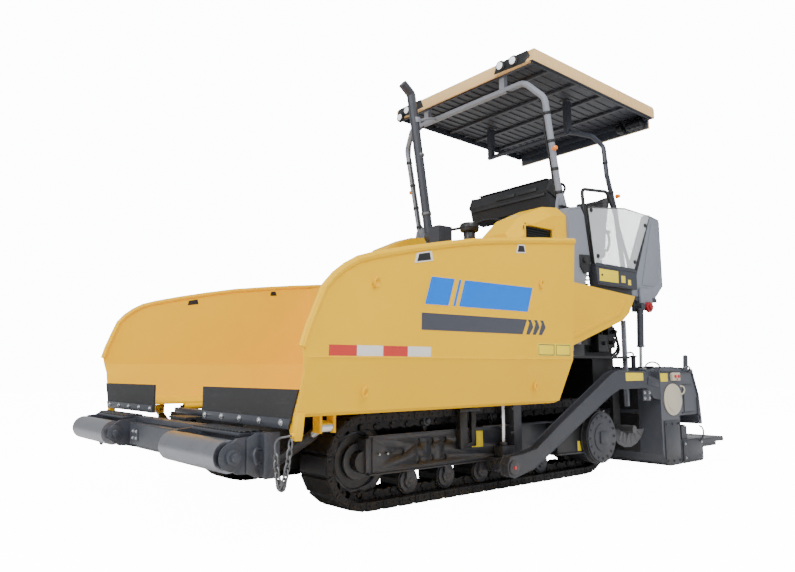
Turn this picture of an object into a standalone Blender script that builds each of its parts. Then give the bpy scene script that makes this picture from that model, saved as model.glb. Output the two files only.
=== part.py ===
"""Tracked asphalt paver: hopper with folding wings, push rollers, crawler
undercarriage, operator platform under a canopy, augers and a floating screed.

Metres, +X forward to the hopper, +Y to the machine's left, +Z up.
The origin is on the ground, at the middle of the machine's length and width.
"""
import math

import bmesh
import bpy
from mathutils import Matrix, Vector

# ---- overall ----
FRONT_X = 2.82              # front of the push rollers
REAR_X = -2.82              # rear edge of the walkway
SEAT_GAP = 0.0003           # gap between pieces that touch

# ---- undercarriage ----
IDLER_X = 1.626
SPROCKET_X = -0.795
IDLER_R = 0.313             # over the shoes, so also the idler's height
SPROCKET_R = 0.325
TRACK_INNER_Y = 0.69
SHOE_WIDTH = 0.30
BELT_DEPTH = 0.06           # shoe and link together
SHOE_COUNT = 49
SHOE_GAP_DEPTH = 0.014
FRAME_FRONT_X = IDLER_X - 0.016
FRAME_REAR_X = -0.50
FRAME_LOW_Z = 0.235
FRAME_TOP_Z = 0.467
FRAME_INNER_Y = 0.73
FRAME_OUTER_Y = 0.975
ROLLER_R = 0.09
ROLLER_PLACES = (1.22, 0.86, 0.50, 0.14, -0.22)
DRIVE_R = 0.219
DRIVE_OUTER_Y = 1.15
DRIVE_BOSS = 0.024

# ---- chassis ----
BELLY_HALF_WIDTH = 0.60
BELLY_LOW_Z = 0.26
BELLY_TOP_Z = 0.60
BELLY_FRONT_X = 2.30
BELLY_REAR_X = -1.02
WALL = 0.02
TUNNEL_HALF_WIDTH = 0.45
DECK_Z = 1.00               # underside of the engine deck
DECK_FRONT_X = 0.345
DECK_REAR_X = -1.38
DECK_HALF_WIDTH = 1.10
REAR_WALL_FRONT_X = 0.375
REAR_WALL_HALF_WIDTH = 0.68
REAR_WALL_TOP_Z = 1.88
UPPER_FRONT_X = 0.222       # nothing above the hopper reaches past this

# ---- hopper wings ----
WING_HINGE_Y = 0.47
WING_HINGE_Z = 0.645
WING_KNUCKLE_R = 0.025
WING_SHEET = 0.014
WING_FLOOR_Z = 0.665        # underside of the wing's floor
WING_BOTTOM_Y = 1.55
WING_CREASE_Y = 1.643
WING_CREASE_Z = 0.975
WING_TOP_Y = 1.678
WING_TOP_Z = 1.832
WING_REAR_X = 0.232
WING_FLOOR_REAR_X = 0.385
WING_FRONT_X = 2.485
WING_PANEL = 0.012
WING_TOP_LINE = [(0.598, 1.794), (0.948, 1.752), (1.265, 1.709), (1.554, 1.654), (1.819, 1.598),
                 (2.061, 1.540), (2.175, 1.505), (2.260, 1.458), (2.330, 1.405), (2.389, 1.340),
                 (2.434, 1.235), (2.482, 1.119), (2.511, 1.027)]
LIP_R = 0.022
WING_PANEL_INNER_Y = 0.54
HINGE_REAR_X = 0.45
HINGE_FRONT_X = 2.25
APRON_SHEET = 0.012
CYLINDER_X = 2.15
CYLINDER_HALF = 0.035
CYLINDER_PIVOT = (0.67, 0.30)
CYLINDER_EYE = (1.30, 0.59)

# ---- push rollers ----
PUSH_PIVOT_X = 2.42
PUSH_BOSS_R = 0.07
PUSH_ROLLER_R = 0.085
PUSH_ROLLER_Z = 0.47
PUSH_ROLLER_INNER_Y = 0.55
PUSH_ROLLER_OUTER_Y = 1.30
BEAM_HALF_WIDTH = 1.40
BEAM_LOW_Z = 0.36
BEAM_TOP_Z = 0.58
NOSE_LOW_Z = 0.355
NOSE_TOP_Z = 0.585
NOSE_HALF_WIDTH = 0.15

# ---- engine bay and platform ----
HOOD_REAR_X = -0.50
HOOD_HALF_WIDTH = 1.08
HOOD_WALL = 0.03
HUMP_INNER_Y = 0.74
LOUVRE_REAR_X = -0.30
LOUVRE_FRONT_X = 0.05
LOUVRE_LOW_Z = 1.955
LOUVRE_TOP_Z = 2.085
LOUVRE_DEPTH = 0.025
PLATFORM_TOP_Z = 1.60
PLATFORM_REAR_X = -1.95
PLATFORM_HALF_WIDTH = 1.08
SIDE_BOX_OUTER_Y = 1.14
SIDE_BOX_TOP_Z = PLATFORM_TOP_Z + 0.24
BULKHEAD_TOP_Z = PLATFORM_TOP_Z + 0.745
FENDER_INNER_Y = 1.10
FENDER_THICKNESS = 0.05
GLASS_Y = 1.118
GLASS_THICKNESS = 0.008

# ---- canopy ----
CANOPY_FRONT_X = -0.279
CANOPY_REAR_X = -2.351
CANOPY_HALF_WIDTH = 0.945
CANOPY_DEPTH = 0.118
CANOPY_TOP_Z = 3.778
CANOPY_TILT = math.radians(1.35)
CANOPY_POCKET = 0.055
POST_R = 0.03
POST_Y = 0.95

# ---- augers and screed ----
AUGER_X = -1.305
AUGER_Z = 0.36
AUGER_R = 0.165
AUGER_PITCH = 0.28
SHAFT_R = 0.035
TOW_PIN = (0.47, 0.198)
ARM_INNER_Y = 1.17
ARM_OUTER_Y = 1.25
SCREED_FRONT_X = -1.62
SCREED_SOLE_REAR_X = -1.945
SCREED_HALF_WIDTH = 1.25
SCREED_LOW_Z = 0.007
EXTENSION_GAP = 0.01
GUIDE_TUBE = (-2.08, 0.32)
GUIDE_TUBE_R = 0.045
LIFT_PIVOT = (-1.60, PLATFORM_TOP_Z - 0.10)
LIFT_EYE = (-1.56, 0.90)
LIFT_Y = 1.10
LIFT_HEAD = 0.035
LIFT_NOTCH = 0.08           # how far the screed's cover is cut back behind the lift cylinder
LIFT_NOTCH_LOW_Z = 0.69
LIFT_LUG_Y = (1.139, 1.165)
ROD_X = 0.335
ROD_Y = 1.035
ROD_R = 0.018
POST_FRONT_X = 0.26

for old in list(bpy.data.objects):
    bpy.data.objects.remove(old, do_unlink=True)

scene = bpy.context.scene
paver = bpy.data.collections.new("asphalt_paver")
cutters = bpy.data.collections.new("cutters")
scene.collection.children.link(paver)
scene.collection.children.link(cutters)


def paint(name, color, roughness, metallic=0.0):
    material = bpy.data.materials.new(name)
    material.use_nodes = True
    surface = material.node_tree.nodes["Principled BSDF"]
    surface.inputs["Base Color"].default_value = (*color, 1.0)
    surface.inputs["Roughness"].default_value = roughness
    surface.inputs["Metallic"].default_value = metallic
    return material


YELLOW = ("yellow_paint", (0.95, 0.52, 0.03), 0.35)
DARK = ("dark_grey_paint", (0.06, 0.065, 0.075), 0.5)
BLACK = ("black_paint", (0.015, 0.016, 0.018), 0.5)
LIGHT = ("light_grey_paint", (0.30, 0.32, 0.34), 0.45)
RUBBER = ("rubber", (0.04, 0.04, 0.04), 0.85)
STEEL = ("bright_steel", (0.55, 0.56, 0.57), 0.3, 1.0)
SHOES = ("shoe_steel", (0.03, 0.03, 0.035), 0.7, 0.4)
SEATING = ("seat_cover", (0.05, 0.05, 0.055), 0.7)
GLAZING = ("clear_sheet", (0.8, 0.85, 0.85), 0.1)
PLASTIC = ("console_plastic", (0.03, 0.03, 0.033), 0.6)
CANOPY = ("canopy_paint", (0.92, 0.55, 0.16), 0.4)


def add(mesh, name="shape"):
    thing = bpy.data.objects.new(name, mesh)
    paver.objects.link(thing)
    return thing


def from_bmesh(shape):
    bmesh.ops.recalc_face_normals(shape, faces=shape.faces)
    mesh = bpy.data.meshes.new("shape")
    shape.to_mesh(mesh)
    shape.free()
    return add(mesh)


def block(low, high):
    """A box between two corners."""
    low = Vector(low)
    high = Vector(high)
    shape = bmesh.new()
    middle = Matrix.Translation((low + high) / 2)
    size = Matrix.Diagonal((*(high - low), 1.0))
    bmesh.ops.create_cube(shape, size=1.0, matrix=middle @ size)
    return from_bmesh(shape)


def rod(start, end, radius, sides=16, end_radius=None):
    """A round bar, or a cone, from start to end."""
    start = Vector(start)
    end = Vector(end)
    along = end - start
    turn = Vector((0, 0, 1)).rotation_difference(along).to_matrix().to_4x4()
    shape = bmesh.new()
    bmesh.ops.create_cone(shape, cap_ends=True, segments=sides, radius1=radius,
                          radius2=radius if end_radius is None else end_radius,
                          depth=along.length,
                          matrix=Matrix.Translation((start + end) / 2) @ turn)
    return from_bmesh(shape)


def to_mesh(curve_object):
    """Turn a curve into a closed mesh object in the same place."""
    view = bpy.context.evaluated_depsgraph_get()
    mesh = bpy.data.meshes.new_from_object(curve_object.evaluated_get(view))
    shape = bmesh.new()
    shape.from_mesh(mesh)
    shape.transform(curve_object.matrix_world)
    bmesh.ops.remove_doubles(shape, verts=shape.verts, dist=0.00001)
    bpy.data.objects.remove(curve_object, do_unlink=True)
    return from_bmesh(shape)


FACING = {
    "X": Matrix(((0, 0, 1, 0), (1, 0, 0, 0), (0, 1, 0, 0), (0, 0, 0, 1))),
    "Y": Matrix(((1, 0, 0, 0), (0, 0, -1, 0), (0, 1, 0, 0), (0, 0, 0, 1))),
    "Z": Matrix.Identity(4),
}


def plate(outline, axis, low, high, hole=()):
    """A flat outline given in the two other axes, thick from low to high along axis."""
    curve = bpy.data.curves.new("outline", "CURVE")
    curve.dimensions = "2D"
    curve.fill_mode = "BOTH"
    curve.extrude = (high - low) / 2
    for line in filter(None, (outline, hole)):
        spline = curve.splines.new("POLY")
        spline.points.add(len(line) - 1)
        for point, (across, up) in zip(spline.points, line):
            point.co = (across, up, 0, 1)
        spline.use_cyclic_u = True
    flat = bpy.data.objects.new("outline", curve)
    paver.objects.link(flat)
    middle = {"X": (1, 0, 0), "Y": (0, 1, 0), "Z": (0, 0, 1)}[axis]
    flat.matrix_world = Matrix.Translation(Vector(middle) * (low + high) / 2) @ FACING[axis]
    bpy.context.view_layer.update()
    return to_mesh(flat)


def tube(points, radius, sides_level=2):
    """A round tube through the points."""
    curve = bpy.data.curves.new("run", "CURVE")
    curve.dimensions = "3D"
    curve.bevel_depth = radius
    curve.bevel_resolution = sides_level
    curve.use_fill_caps = True
    spline = curve.splines.new("POLY")
    spline.points.add(len(points) - 1)
    for point, place in zip(spline.points, points):
        point.co = (*place, 1)
    run = bpy.data.objects.new("run", curve)
    paver.objects.link(run)
    bpy.context.view_layer.update()
    return to_mesh(run)


def rounded(corners, radius, steps=4):
    """The points of a run with each inner corner turned into an arc."""
    corners = [Vector(corner) for corner in corners]
    run = [corners[0]]
    for before, corner, after in zip(corners, corners[1:], corners[2:]):
        back = (before - corner).normalized()
        ahead = (after - corner).normalized()
        half = back.angle(ahead) / 2
        reach = radius / math.tan(half)
        reach = min(reach, (before - corner).length * 0.49, (after - corner).length * 0.49)
        first = corner + back * reach
        last = corner + ahead * reach
        for step in range(steps + 1):
            share = step / steps
            run.append((1 - share) ** 2 * first + 2 * share * (1 - share) * corner
                       + share ** 2 * last)
    run.append(corners[-1])
    return run


def use_as_tool(tool):
    paver.objects.unlink(tool)
    cutters.objects.link(tool)
    tool.hide_render = True
    tool.display_type = "WIRE"


def piece(name, look, shapes, cuts=()):
    """One node: the first shape, with the others joined to it and the cuts taken out."""
    node = shapes[0]
    node.name = name
    node.data.name = name
    for operation, tools in (("UNION", shapes[1:]), ("DIFFERENCE", cuts)):
        for tool in tools:
            step = node.modifiers.new(operation.lower(), "BOOLEAN")
            step.operation = operation
            step.solver = "EXACT"
            step.object = tool
            use_as_tool(tool)
    node.data.materials.clear()
    node.data.materials.append(paint(look[0] + "_" + name, *look[1:]))
    return node


def settle(node):
    """Apply a node's modifiers, so that its mirror image can be made from it."""
    view = bpy.context.evaluated_depsgraph_get()
    mesh = bpy.data.meshes.new_from_object(node.evaluated_get(view))
    node.modifiers.clear()
    node.data = mesh
    node.data.name = node.name
    return node


def pair(name, look, shapes, cuts=()):
    """A left piece and its mirror image on the right."""
    left = settle(piece(name + "_left", look, shapes, cuts))
    shape = bmesh.new()
    shape.from_mesh(left.data)
    shape.transform(Matrix.Diagonal((1, -1, 1, 1)))
    bmesh.ops.reverse_faces(shape, faces=shape.faces)
    mesh = bpy.data.meshes.new(name + "_right")
    shape.to_mesh(mesh)
    shape.free()
    right = add(mesh, name + "_right")
    right.data.materials.append(paint(look[0] + "_" + name + "_right", *look[1:]))
    return left, right


def both_sides(low, high):
    """A box on the left and the same box on the right."""
    return [block(low, high), block((low[0], -high[1], low[2]), (high[0], -low[1], high[2]))]


def track_outline(shrink):
    """Points once around the track, shrink metres inside its shoes, from the top rear."""
    rear = Vector((SPROCKET_X, SPROCKET_R))
    front = Vector((IDLER_X, IDLER_R))
    span = front - rear
    top_angle = math.atan2(span.y, span.x) + math.acos((SPROCKET_R - IDLER_R) / span.length)
    low_angle = -math.pi / 2
    run = []

    def arc(centre, radius, start, sweep, steps):
        for step in range(steps + 1):
            angle = start + sweep * step / steps
            run.append(centre + (radius - shrink) * Vector((math.cos(angle), math.sin(angle))))

    arc(front, IDLER_R, top_angle, low_angle - top_angle, 14)
    arc(rear, SPROCKET_R, low_angle, -(2 * math.pi + low_angle - top_angle), 14)
    return run


def along(outline, distance):
    """The point and direction at a distance around a closed outline."""
    left = distance
    for here, after in zip(outline, outline[1:] + outline[:1]):
        step = (after - here).length
        if left <= step and step > 0:
            way = (after - here) / step
            return here + way * left, way
        left -= step
    return outline[0], (outline[1] - outline[0]).normalized()


def shoe_outline():
    """The track's outer line, with the gap between each two shoes."""
    base = track_outline(0.0)
    total = sum((b - a).length for a, b in zip(base, base[1:] + base[:1]))
    pitch = total / SHOE_COUNT
    run = []
    for shoe in range(SHOE_COUNT):
        for share, depth in ((0.03, SHOE_GAP_DEPTH), (0.10, 0.0), (0.90, 0.0),
                             (0.97, SHOE_GAP_DEPTH)):
            point, way = along(base, (shoe + share) * pitch)
            inward = Vector((way.y, -way.x))
            run.append(point + inward * depth)
    return run


def make_tracks():
    outer_y = TRACK_INNER_Y + SHOE_WIDTH
    loop = plate(shoe_outline(), "Y", TRACK_INNER_Y, outer_y, track_outline(BELT_DEPTH))
    pair("track", SHOES, [loop])


def make_track_frames():
    middle_y = TRACK_INNER_Y + SHOE_WIDTH / 2
    beam = block((FRAME_REAR_X, FRAME_INNER_Y, FRAME_LOW_Z),
                 (FRAME_FRONT_X, FRAME_OUTER_Y, FRAME_TOP_Z))
    shapes = [beam]
    roller_z = BELT_DEPTH + SEAT_GAP + ROLLER_R
    for place in ROLLER_PLACES:
        shapes.append(rod((place, middle_y - 0.10, roller_z), (place, middle_y + 0.10, roller_z),
                          ROLLER_R, 14))
    wheel_gap = 0.008
    for place, height in ((IDLER_X, IDLER_R), (SPROCKET_X, SPROCKET_R)):
        shapes.append(rod((place, middle_y - 0.045, height), (place, middle_y + 0.045, height),
                          height - BELT_DEPTH - wheel_gap, 20))
    shapes.append(rod((IDLER_X, FRAME_INNER_Y, IDLER_R), (IDLER_X, FRAME_OUTER_Y, IDLER_R),
                      0.07, 16))
    shapes.append(rod((SPROCKET_X, FRAME_INNER_Y, SPROCKET_R),
                      (SPROCKET_X, DRIVE_OUTER_Y, SPROCKET_R), DRIVE_R, 28))
    shapes.append(block((SPROCKET_X, middle_y + 0.06, SPROCKET_R - 0.12),
                        (-0.27, 1.08, SPROCKET_R + 0.14)))
    shapes.append(block((SPROCKET_X - 0.05, 1.0, SPROCKET_R - 0.05),
                        (SPROCKET_X + 0.05, DRIVE_OUTER_Y + DRIVE_BOSS, SPROCKET_R + 0.05)))
    pair("track_frame", DARK, shapes)


def make_chassis():
    half = BELLY_HALF_WIDTH
    shapes = [block((BELLY_REAR_X, -half, BELLY_TOP_Z - WALL), (BELLY_FRONT_X, half, BELLY_TOP_Z))]
    tunnel = TUNNEL_HALF_WIDTH
    shapes += both_sides((BELLY_REAR_X, tunnel, BELLY_TOP_Z - 0.01),
                         (REAR_WALL_FRONT_X - 0.025, tunnel + WALL, DECK_Z + 0.01))
    shapes.append(block((DECK_REAR_X, -DECK_HALF_WIDTH, DECK_Z),
                        (DECK_FRONT_X, DECK_HALF_WIDTH, DECK_Z + WALL)))
    shapes.append(block((BELLY_FRONT_X - WALL, -NOSE_HALF_WIDTH, NOSE_TOP_Z),
                        (PUSH_PIVOT_X + PUSH_BOSS_R, NOSE_HALF_WIDTH, BELLY_TOP_Z)))
    for low, high in ((HINGE_REAR_X - 0.025, HINGE_REAR_X - SEAT_GAP),
                      (HINGE_FRONT_X + SEAT_GAP, HINGE_FRONT_X + 0.025)):
        shapes += both_sides((low, WING_HINGE_Y - 0.012, BELLY_TOP_Z - 0.01),
                             (high, WING_HINGE_Y + 0.012, WING_HINGE_Z + 0.008))
    piece("chassis_frame", BLACK, shapes)


def make_side_rails():
    half = BELLY_HALF_WIDTH
    top = BELLY_TOP_Z - WALL - SEAT_GAP
    shapes = [block((BELLY_REAR_X, half - WALL, BELLY_LOW_Z), (BELLY_FRONT_X, half, top))]
    for place in (0.90, -0.35):
        shapes.append(block((place, half - 0.01, BELLY_LOW_Z + 0.02),
                            (place + 0.2, FRAME_INNER_Y - SEAT_GAP, BELLY_LOW_Z + 0.16)))
    pivot_y, pivot_z = CYLINDER_PIVOT
    for low, high in ((CYLINDER_X - CYLINDER_HALF - 0.02, CYLINDER_X - CYLINDER_HALF - SEAT_GAP),
                      (CYLINDER_X + CYLINDER_HALF + SEAT_GAP, CYLINDER_X + CYLINDER_HALF + 0.02)):
        shapes.append(block((low, half - 0.01, pivot_z - 0.035),
                            (high, pivot_y + 0.03, pivot_z + 0.035)))
    pair("side_rail", BLACK, shapes)
    inner = half - WALL - SEAT_GAP
    cross = block((BELLY_FRONT_X - WALL, -inner, BELLY_LOW_Z), (BELLY_FRONT_X, inner, top))
    lip = block((BELLY_FRONT_X - WALL, -NOSE_HALF_WIDTH, NOSE_LOW_Z - 0.015),
                (PUSH_PIVOT_X + PUSH_BOSS_R, NOSE_HALF_WIDTH, NOSE_LOW_Z))
    piece("front_crossmember", BLACK, [cross, lip])


def make_rear_wall():
    front = REAR_WALL_FRONT_X
    sheet = WALL
    low = BELLY_TOP_Z + SEAT_GAP
    side = [(front - sheet, low), (front, low), (front, 1.15), (UPPER_FRONT_X, 1.50),
            (UPPER_FRONT_X, REAR_WALL_TOP_Z), (UPPER_FRONT_X - sheet, REAR_WALL_TOP_Z),
            (UPPER_FRONT_X - sheet, 1.495), (front - sheet, 1.145)]
    wall = plate(side, "Y", -REAR_WALL_HALF_WIDTH, REAR_WALL_HALF_WIDTH)
    mouth = block((0.1, -TUNNEL_HALF_WIDTH, BELLY_TOP_Z - 0.05),
                  (0.5, TUNNEL_HALF_WIDTH, DECK_Z))
    piece("hopper_rear_wall", YELLOW, [wall], [mouth])


def make_engine():
    piece("engine_block", BLACK, [block((-0.42, -0.50, DECK_Z + WALL + SEAT_GAP),
                                        (0.10, 0.50, 1.78))])


def make_hood():
    low = DECK_Z + WALL + SEAT_GAP
    back = HOOD_REAR_X
    front = UPPER_FRONT_X - WALL - SEAT_GAP
    bonnet = plate([(back, low), (front, low), (front, 1.90), (0.05, 2.00), (-0.25, 2.07),
                    (back, 2.09)], "Y", -HUMP_INNER_Y - 0.01, HUMP_INNER_Y + 0.01)
    shapes = [bonnet]
    cuts = []
    hump_side = [(back, low), (front, low), (front, 2.01), (0.024, 2.167), (-0.285, 2.30),
                 (back, 2.325)]
    for side in (1, -1):
        near, far = sorted((side * HUMP_INNER_Y, side * HOOD_HALF_WIDTH))
        hump = plate(hump_side, "Y", near, far)
        shape = bmesh.new()
        shape.from_mesh(hump.data)
        edges = [edge for edge in shape.edges
                 if all(abs(corner.co.y - side * HOOD_HALF_WIDTH) < 1e-5 and corner.co.z > 1.9
                        for corner in edge.verts)]
        bmesh.ops.bevel(shape, geom=edges, offset=0.09, segments=1, affect="EDGES",
                        clamp_overlap=True)
        shape.to_mesh(hump.data)
        shape.free()
        shapes.append(hump)
        near, far = sorted((side * (HUMP_INNER_Y + HOOD_WALL), side * (HOOD_HALF_WIDTH - 0.13)))
        cuts.append(block((back + HOOD_WALL, near, 1.7), (-0.16, far, 2.19)))
        near, far = sorted((side * (HOOD_HALF_WIDTH - LOUVRE_DEPTH), side * (HOOD_HALF_WIDTH + 0.01)))
        cuts.append(block((LOUVRE_REAR_X, near, LOUVRE_LOW_Z), (LOUVRE_FRONT_X, far, LOUVRE_TOP_Z)))
    inner = HOOD_HALF_WIDTH - HOOD_WALL
    cuts.append(block((back + HOOD_WALL, -inner, low - 0.05), (front - HOOD_WALL, inner, 1.86)))
    piece("hood", YELLOW, shapes, cuts)


def make_bulkhead():
    low = DECK_Z + WALL + SEAT_GAP
    front = HOOD_REAR_X - SEAT_GAP
    top = BULKHEAD_TOP_Z
    floor = PLATFORM_TOP_Z
    side = [(front, low), (front, top - 0.075), (-0.53, top - 0.03), (-0.688, top),
            (-0.744, top - 0.07), (-0.808, floor + 0.292), (-0.72, floor + 0.05),
            (-0.66, floor - 0.10), (-0.62, low)]
    shapes = [block((front - 0.05, -0.92, low), (front, 0.92, floor + 0.55))]
    for near, far in ((0.89, FENDER_INNER_Y), (-FENDER_INNER_Y, -0.89)):
        shapes.append(plate(side, "Y", near, far))
    piece("bulkhead", LIGHT, shapes)


def make_fenders():
    outline = [(0.20, 1.70), (0.20, 1.03), (-0.30, 1.06), (-1.214, 1.348), (-1.32, 1.417),
               (-1.438, PLATFORM_TOP_Z - 0.018), (-0.458, PLATFORM_TOP_Z + 0.045)]
    inner = FENDER_INNER_Y + SEAT_GAP
    pair("fender", YELLOW, [plate(outline, "Y", inner, inner + FENDER_THICKNESS)])


def make_tank():
    low = DECK_Z + WALL + SEAT_GAP
    top = PLATFORM_TOP_Z - 0.04 - SEAT_GAP
    shapes = [block((-1.37, -0.92, low), (-0.80, 0.92, top))]
    piece("tank_body", BLACK, shapes)


def make_platform():
    top = PLATFORM_TOP_Z
    floor = block((PLATFORM_REAR_X, -PLATFORM_HALF_WIDTH, top - 0.04),
                  (-0.74, PLATFORM_HALF_WIDTH, top))
    shapes = [floor]
    box_side = [(-0.86, top + 0.055), (-1.50, top + 0.05), (-1.50, SIDE_BOX_TOP_Z),
                (-0.83, SIDE_BOX_TOP_Z)]
    for side in (1, -1):
        near, far = sorted((side * 1.05, side * SIDE_BOX_OUTER_Y))
        shapes.append(plate(box_side, "Y", near, far))
        near, far = sorted((side * 1.05, side * PLATFORM_HALF_WIDTH))
        shapes.append(block((-1.50, near, top - 0.02), (-0.86, far, top + 0.10)))
        near, far = sorted((side * (LIFT_Y - 0.06), side * (LIFT_Y - LIFT_HEAD - SEAT_GAP)))
        shapes.append(block((LIFT_PIVOT[0] - 0.05, near, LIFT_PIVOT[1] - 0.05),
                            (LIFT_PIVOT[0] + 0.05, far, top - 0.02)))
    piece("platform", DARK, shapes)


def make_console():
    floor = PLATFORM_TOP_Z
    desk = plate([(-1.05, floor + 0.92), (-1.02, floor + 1.10), (-0.96, floor + 1.145),
                  (-0.84, floor + 1.12), (-0.80, floor + 1.02), (-0.84, floor + 0.86),
                  (-1.0, floor + 0.84)], "Y", -0.36, 0.66)
    column = block((-0.98, 0.05, floor + SEAT_GAP), (-0.86, 0.25, floor + 0.90))
    foot = block((-1.02, -0.02, floor + SEAT_GAP), (-0.82, 0.32, floor + 0.03))
    piece("console", PLASTIC, [desk, column, foot])


def make_seats():
    seat_y = 0.55
    floor = PLATFORM_TOP_Z
    stand = block((-1.50, seat_y - 0.12, floor + SEAT_GAP), (-1.28, seat_y + 0.12, floor + 0.42))
    cushion = block((-1.62, seat_y - 0.24, floor + 0.40), (-1.14, seat_y + 0.24, floor + 0.52))
    back = plate([(-1.53, floor + 0.48), (-1.63, floor + 0.48), (-1.76, floor + 1.08),
                  (-1.67, floor + 1.10)], "Y", seat_y - 0.22, seat_y + 0.22)
    pair("seat", SEATING, [cushion, stand, back])


def make_screens():
    low = SIDE_BOX_TOP_Z + SEAT_GAP
    floor = PLATFORM_TOP_Z
    outline = [(-0.767, floor + 0.742), (-1.373, floor + 0.825), (-1.815, floor + 0.812),
               (-1.49, low), (-0.839, low)]
    pair("side_screen", GLAZING, [plate(outline, "Y", GLASS_Y, GLASS_Y + GLASS_THICKNESS)])
    rail_y = 1.092
    run = rounded([(-0.86, rail_y, low), (-0.86, rail_y, low + 0.05),
                   (-0.76, rail_y, floor + 0.70), (-0.735, rail_y, floor + 0.915),
                   (-1.13, rail_y, floor + 0.955), (-1.25, rail_y, floor + 0.76),
                   (-1.45, rail_y, low + 0.06), (-1.45, rail_y, low)], 0.05, 3)
    pair("handrail", BLACK, [tube(run, 0.016)])
    low = floor + SEAT_GAP
    side = [(-1.83, floor + 0.83), (-1.915, floor + 0.836), (-2.084, floor + 0.817),
            (-2.09, floor + 0.126), (-1.94, low), (-1.506, low), (-1.506, SIDE_BOX_TOP_Z)]
    pair("rear_panel", LIGHT, [plate(side, "Y", 1.03, 1.07)])


def canopy_z(x, depth=0.0):
    """Height on the tilted roof, depth metres under its top."""
    return CANOPY_TOP_Z - depth - (CANOPY_FRONT_X - x) * math.tan(CANOPY_TILT)


def make_canopy():
    half = CANOPY_HALF_WIDTH
    front = CANOPY_FRONT_X
    rear = CANOPY_REAR_X
    side = [(rear, canopy_z(rear, CANOPY_DEPTH)), (front, canopy_z(front, CANOPY_DEPTH)),
            (front, canopy_z(front, 0.02)), (front - 0.03, canopy_z(front - 0.03)),
            (rear + 0.03, canopy_z(rear + 0.03)), (rear, canopy_z(rear, 0.02))]
    roof = plate(side, "Y", -half, half)
    rim = 0.04
    pocket = plate([(rear + rim, canopy_z(rear, CANOPY_DEPTH + 0.05)),
                    (front - rim, canopy_z(front, CANOPY_DEPTH + 0.05)),
                    (front - rim, canopy_z(front - rim, CANOPY_DEPTH - CANOPY_POCKET)),
                    (rear + rim, canopy_z(rear + rim, CANOPY_DEPTH - CANOPY_POCKET))],
                   "Y", -half + rim, half - rim)
    apron_low = canopy_z(rear, CANOPY_DEPTH) - 0.10
    drop = block((rear + 0.005, -half + 0.06, apron_low), (rear + 0.03, half - 0.06,
                                                         canopy_z(rear, 0.05)))
    piece("canopy_roof", CANOPY, [roof, drop], [pocket])


def make_canopy_frames():
    ceiling = CANOPY_DEPTH - CANOPY_POCKET
    foot_z = BULKHEAD_TOP_Z
    hoop = []
    half_path = [(-0.64, POST_Y, foot_z + 0.02), (-0.60, POST_Y, foot_z + 0.105), (-0.43, POST_Y, 3.34),
                 (-0.36, 0.78, 3.52)]
    for point in half_path:
        hoop.append(point)
    for x, y, z in reversed(half_path):
        hoop.append((x, -y, z))
    shapes = [tube(rounded(hoop, 0.12, 4), POST_R, 3)]
    for side in (1, -1):
        near, far = sorted((side * (POST_Y - 0.012), side * (POST_Y + 0.012)))
        foot = [(-0.70, foot_z + SEAT_GAP + 0.006), (-0.54, foot_z - 0.018),
                (-0.56, foot_z + 0.075), (-0.60, foot_z + 0.175), (-0.64, foot_z + 0.155)]
        shapes.append(plate(foot, "Y", near, far))
        near, far = sorted((side * 0.50, side * 0.56))
        shapes.append(block((-0.385, near, 3.50),
                            (-0.335, far, canopy_z(-0.385, ceiling) - SEAT_GAP)))
    piece("canopy_front_frame", DARK, shapes)

    rear_y = 0.94
    floor = PLATFORM_TOP_Z
    post = [(-1.62, rear_y, floor + SEAT_GAP), (-1.62, rear_y, floor + 0.15),
            (-1.505, rear_y, floor + 0.86), (-1.385, rear_y, 2.80), (-1.35, rear_y, 3.08),
            (-1.35, rear_y - 0.12, 3.22), (-1.35, 0.55, 3.34), (-1.35, -0.57, 3.34)]
    shapes = [tube(rounded(post, 0.10, 4), 0.024, 2)]
    for side in (1, -1):
        near, far = sorted((side * 0.50, side * 0.56))
        shapes.append(block((-1.38, near, 3.33),
                            (-1.32, far, canopy_z(-1.38, ceiling) - SEAT_GAP)))
    piece("canopy_rear_frame", DARK, shapes)


def make_exhaust():
    exhaust_y = -0.25
    run = rounded([(-0.16, exhaust_y, 2.14), (-0.10, exhaust_y, 2.22), (0.12, exhaust_y, 3.62),
                   (0.23, exhaust_y, 3.70)], 0.05, 3)
    elbow = tube([(-0.08, exhaust_y, 2.20), (-0.08, -0.08, 2.20)], 0.05, 3)
    low = 2.007 + SEAT_GAP
    rise = 0.07 / 0.30
    box = plate([(-0.15, low + 0.17 * rise), (0.02, low), (0.02, 2.27), (-0.15, 2.27)], "Y",
                -0.12, 0.02)
    piece("exhaust", DARK, [tube(run, 0.045, 3), elbow, box])


def make_auger_box():
    wall_x = -1.02 - SEAT_GAP
    shapes = [block((wall_x - 0.02, -0.93, 0.62), (wall_x, 0.93, DECK_Z - SEAT_GAP))]
    shapes += both_sides((-1.36, 0.915, 0.60), (wall_x, 0.935, DECK_Z - SEAT_GAP))
    shapes.append(block((AUGER_X - 0.06, -0.05, 0.28), (wall_x - 0.005, 0.05, 0.72)))
    front = AUGER_X + 0.06
    shapes += both_sides((AUGER_X - 0.05, 0.955, AUGER_Z - 0.07), (front, 0.985, 0.70))
    shapes += both_sides((AUGER_X - 0.05, 0.92, 0.62), (front, 0.97, 0.70))
    cuts = [block((-1.2, -TUNNEL_HALF_WIDTH, 0.625), (-1.0, -0.06, 0.97)),
            block((-1.2, 0.06, 0.625), (-1.0, TUNNEL_HALF_WIDTH, 0.97)),
            rod((AUGER_X, 0.9, AUGER_Z), (AUGER_X, 1.05, AUGER_Z), SHAFT_R + 0.0008, 20),
            rod((AUGER_X, -1.05, AUGER_Z), (AUGER_X, -0.9, AUGER_Z), SHAFT_R + 0.0008, 20)]
    piece("auger_box", BLACK, shapes, cuts)


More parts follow.
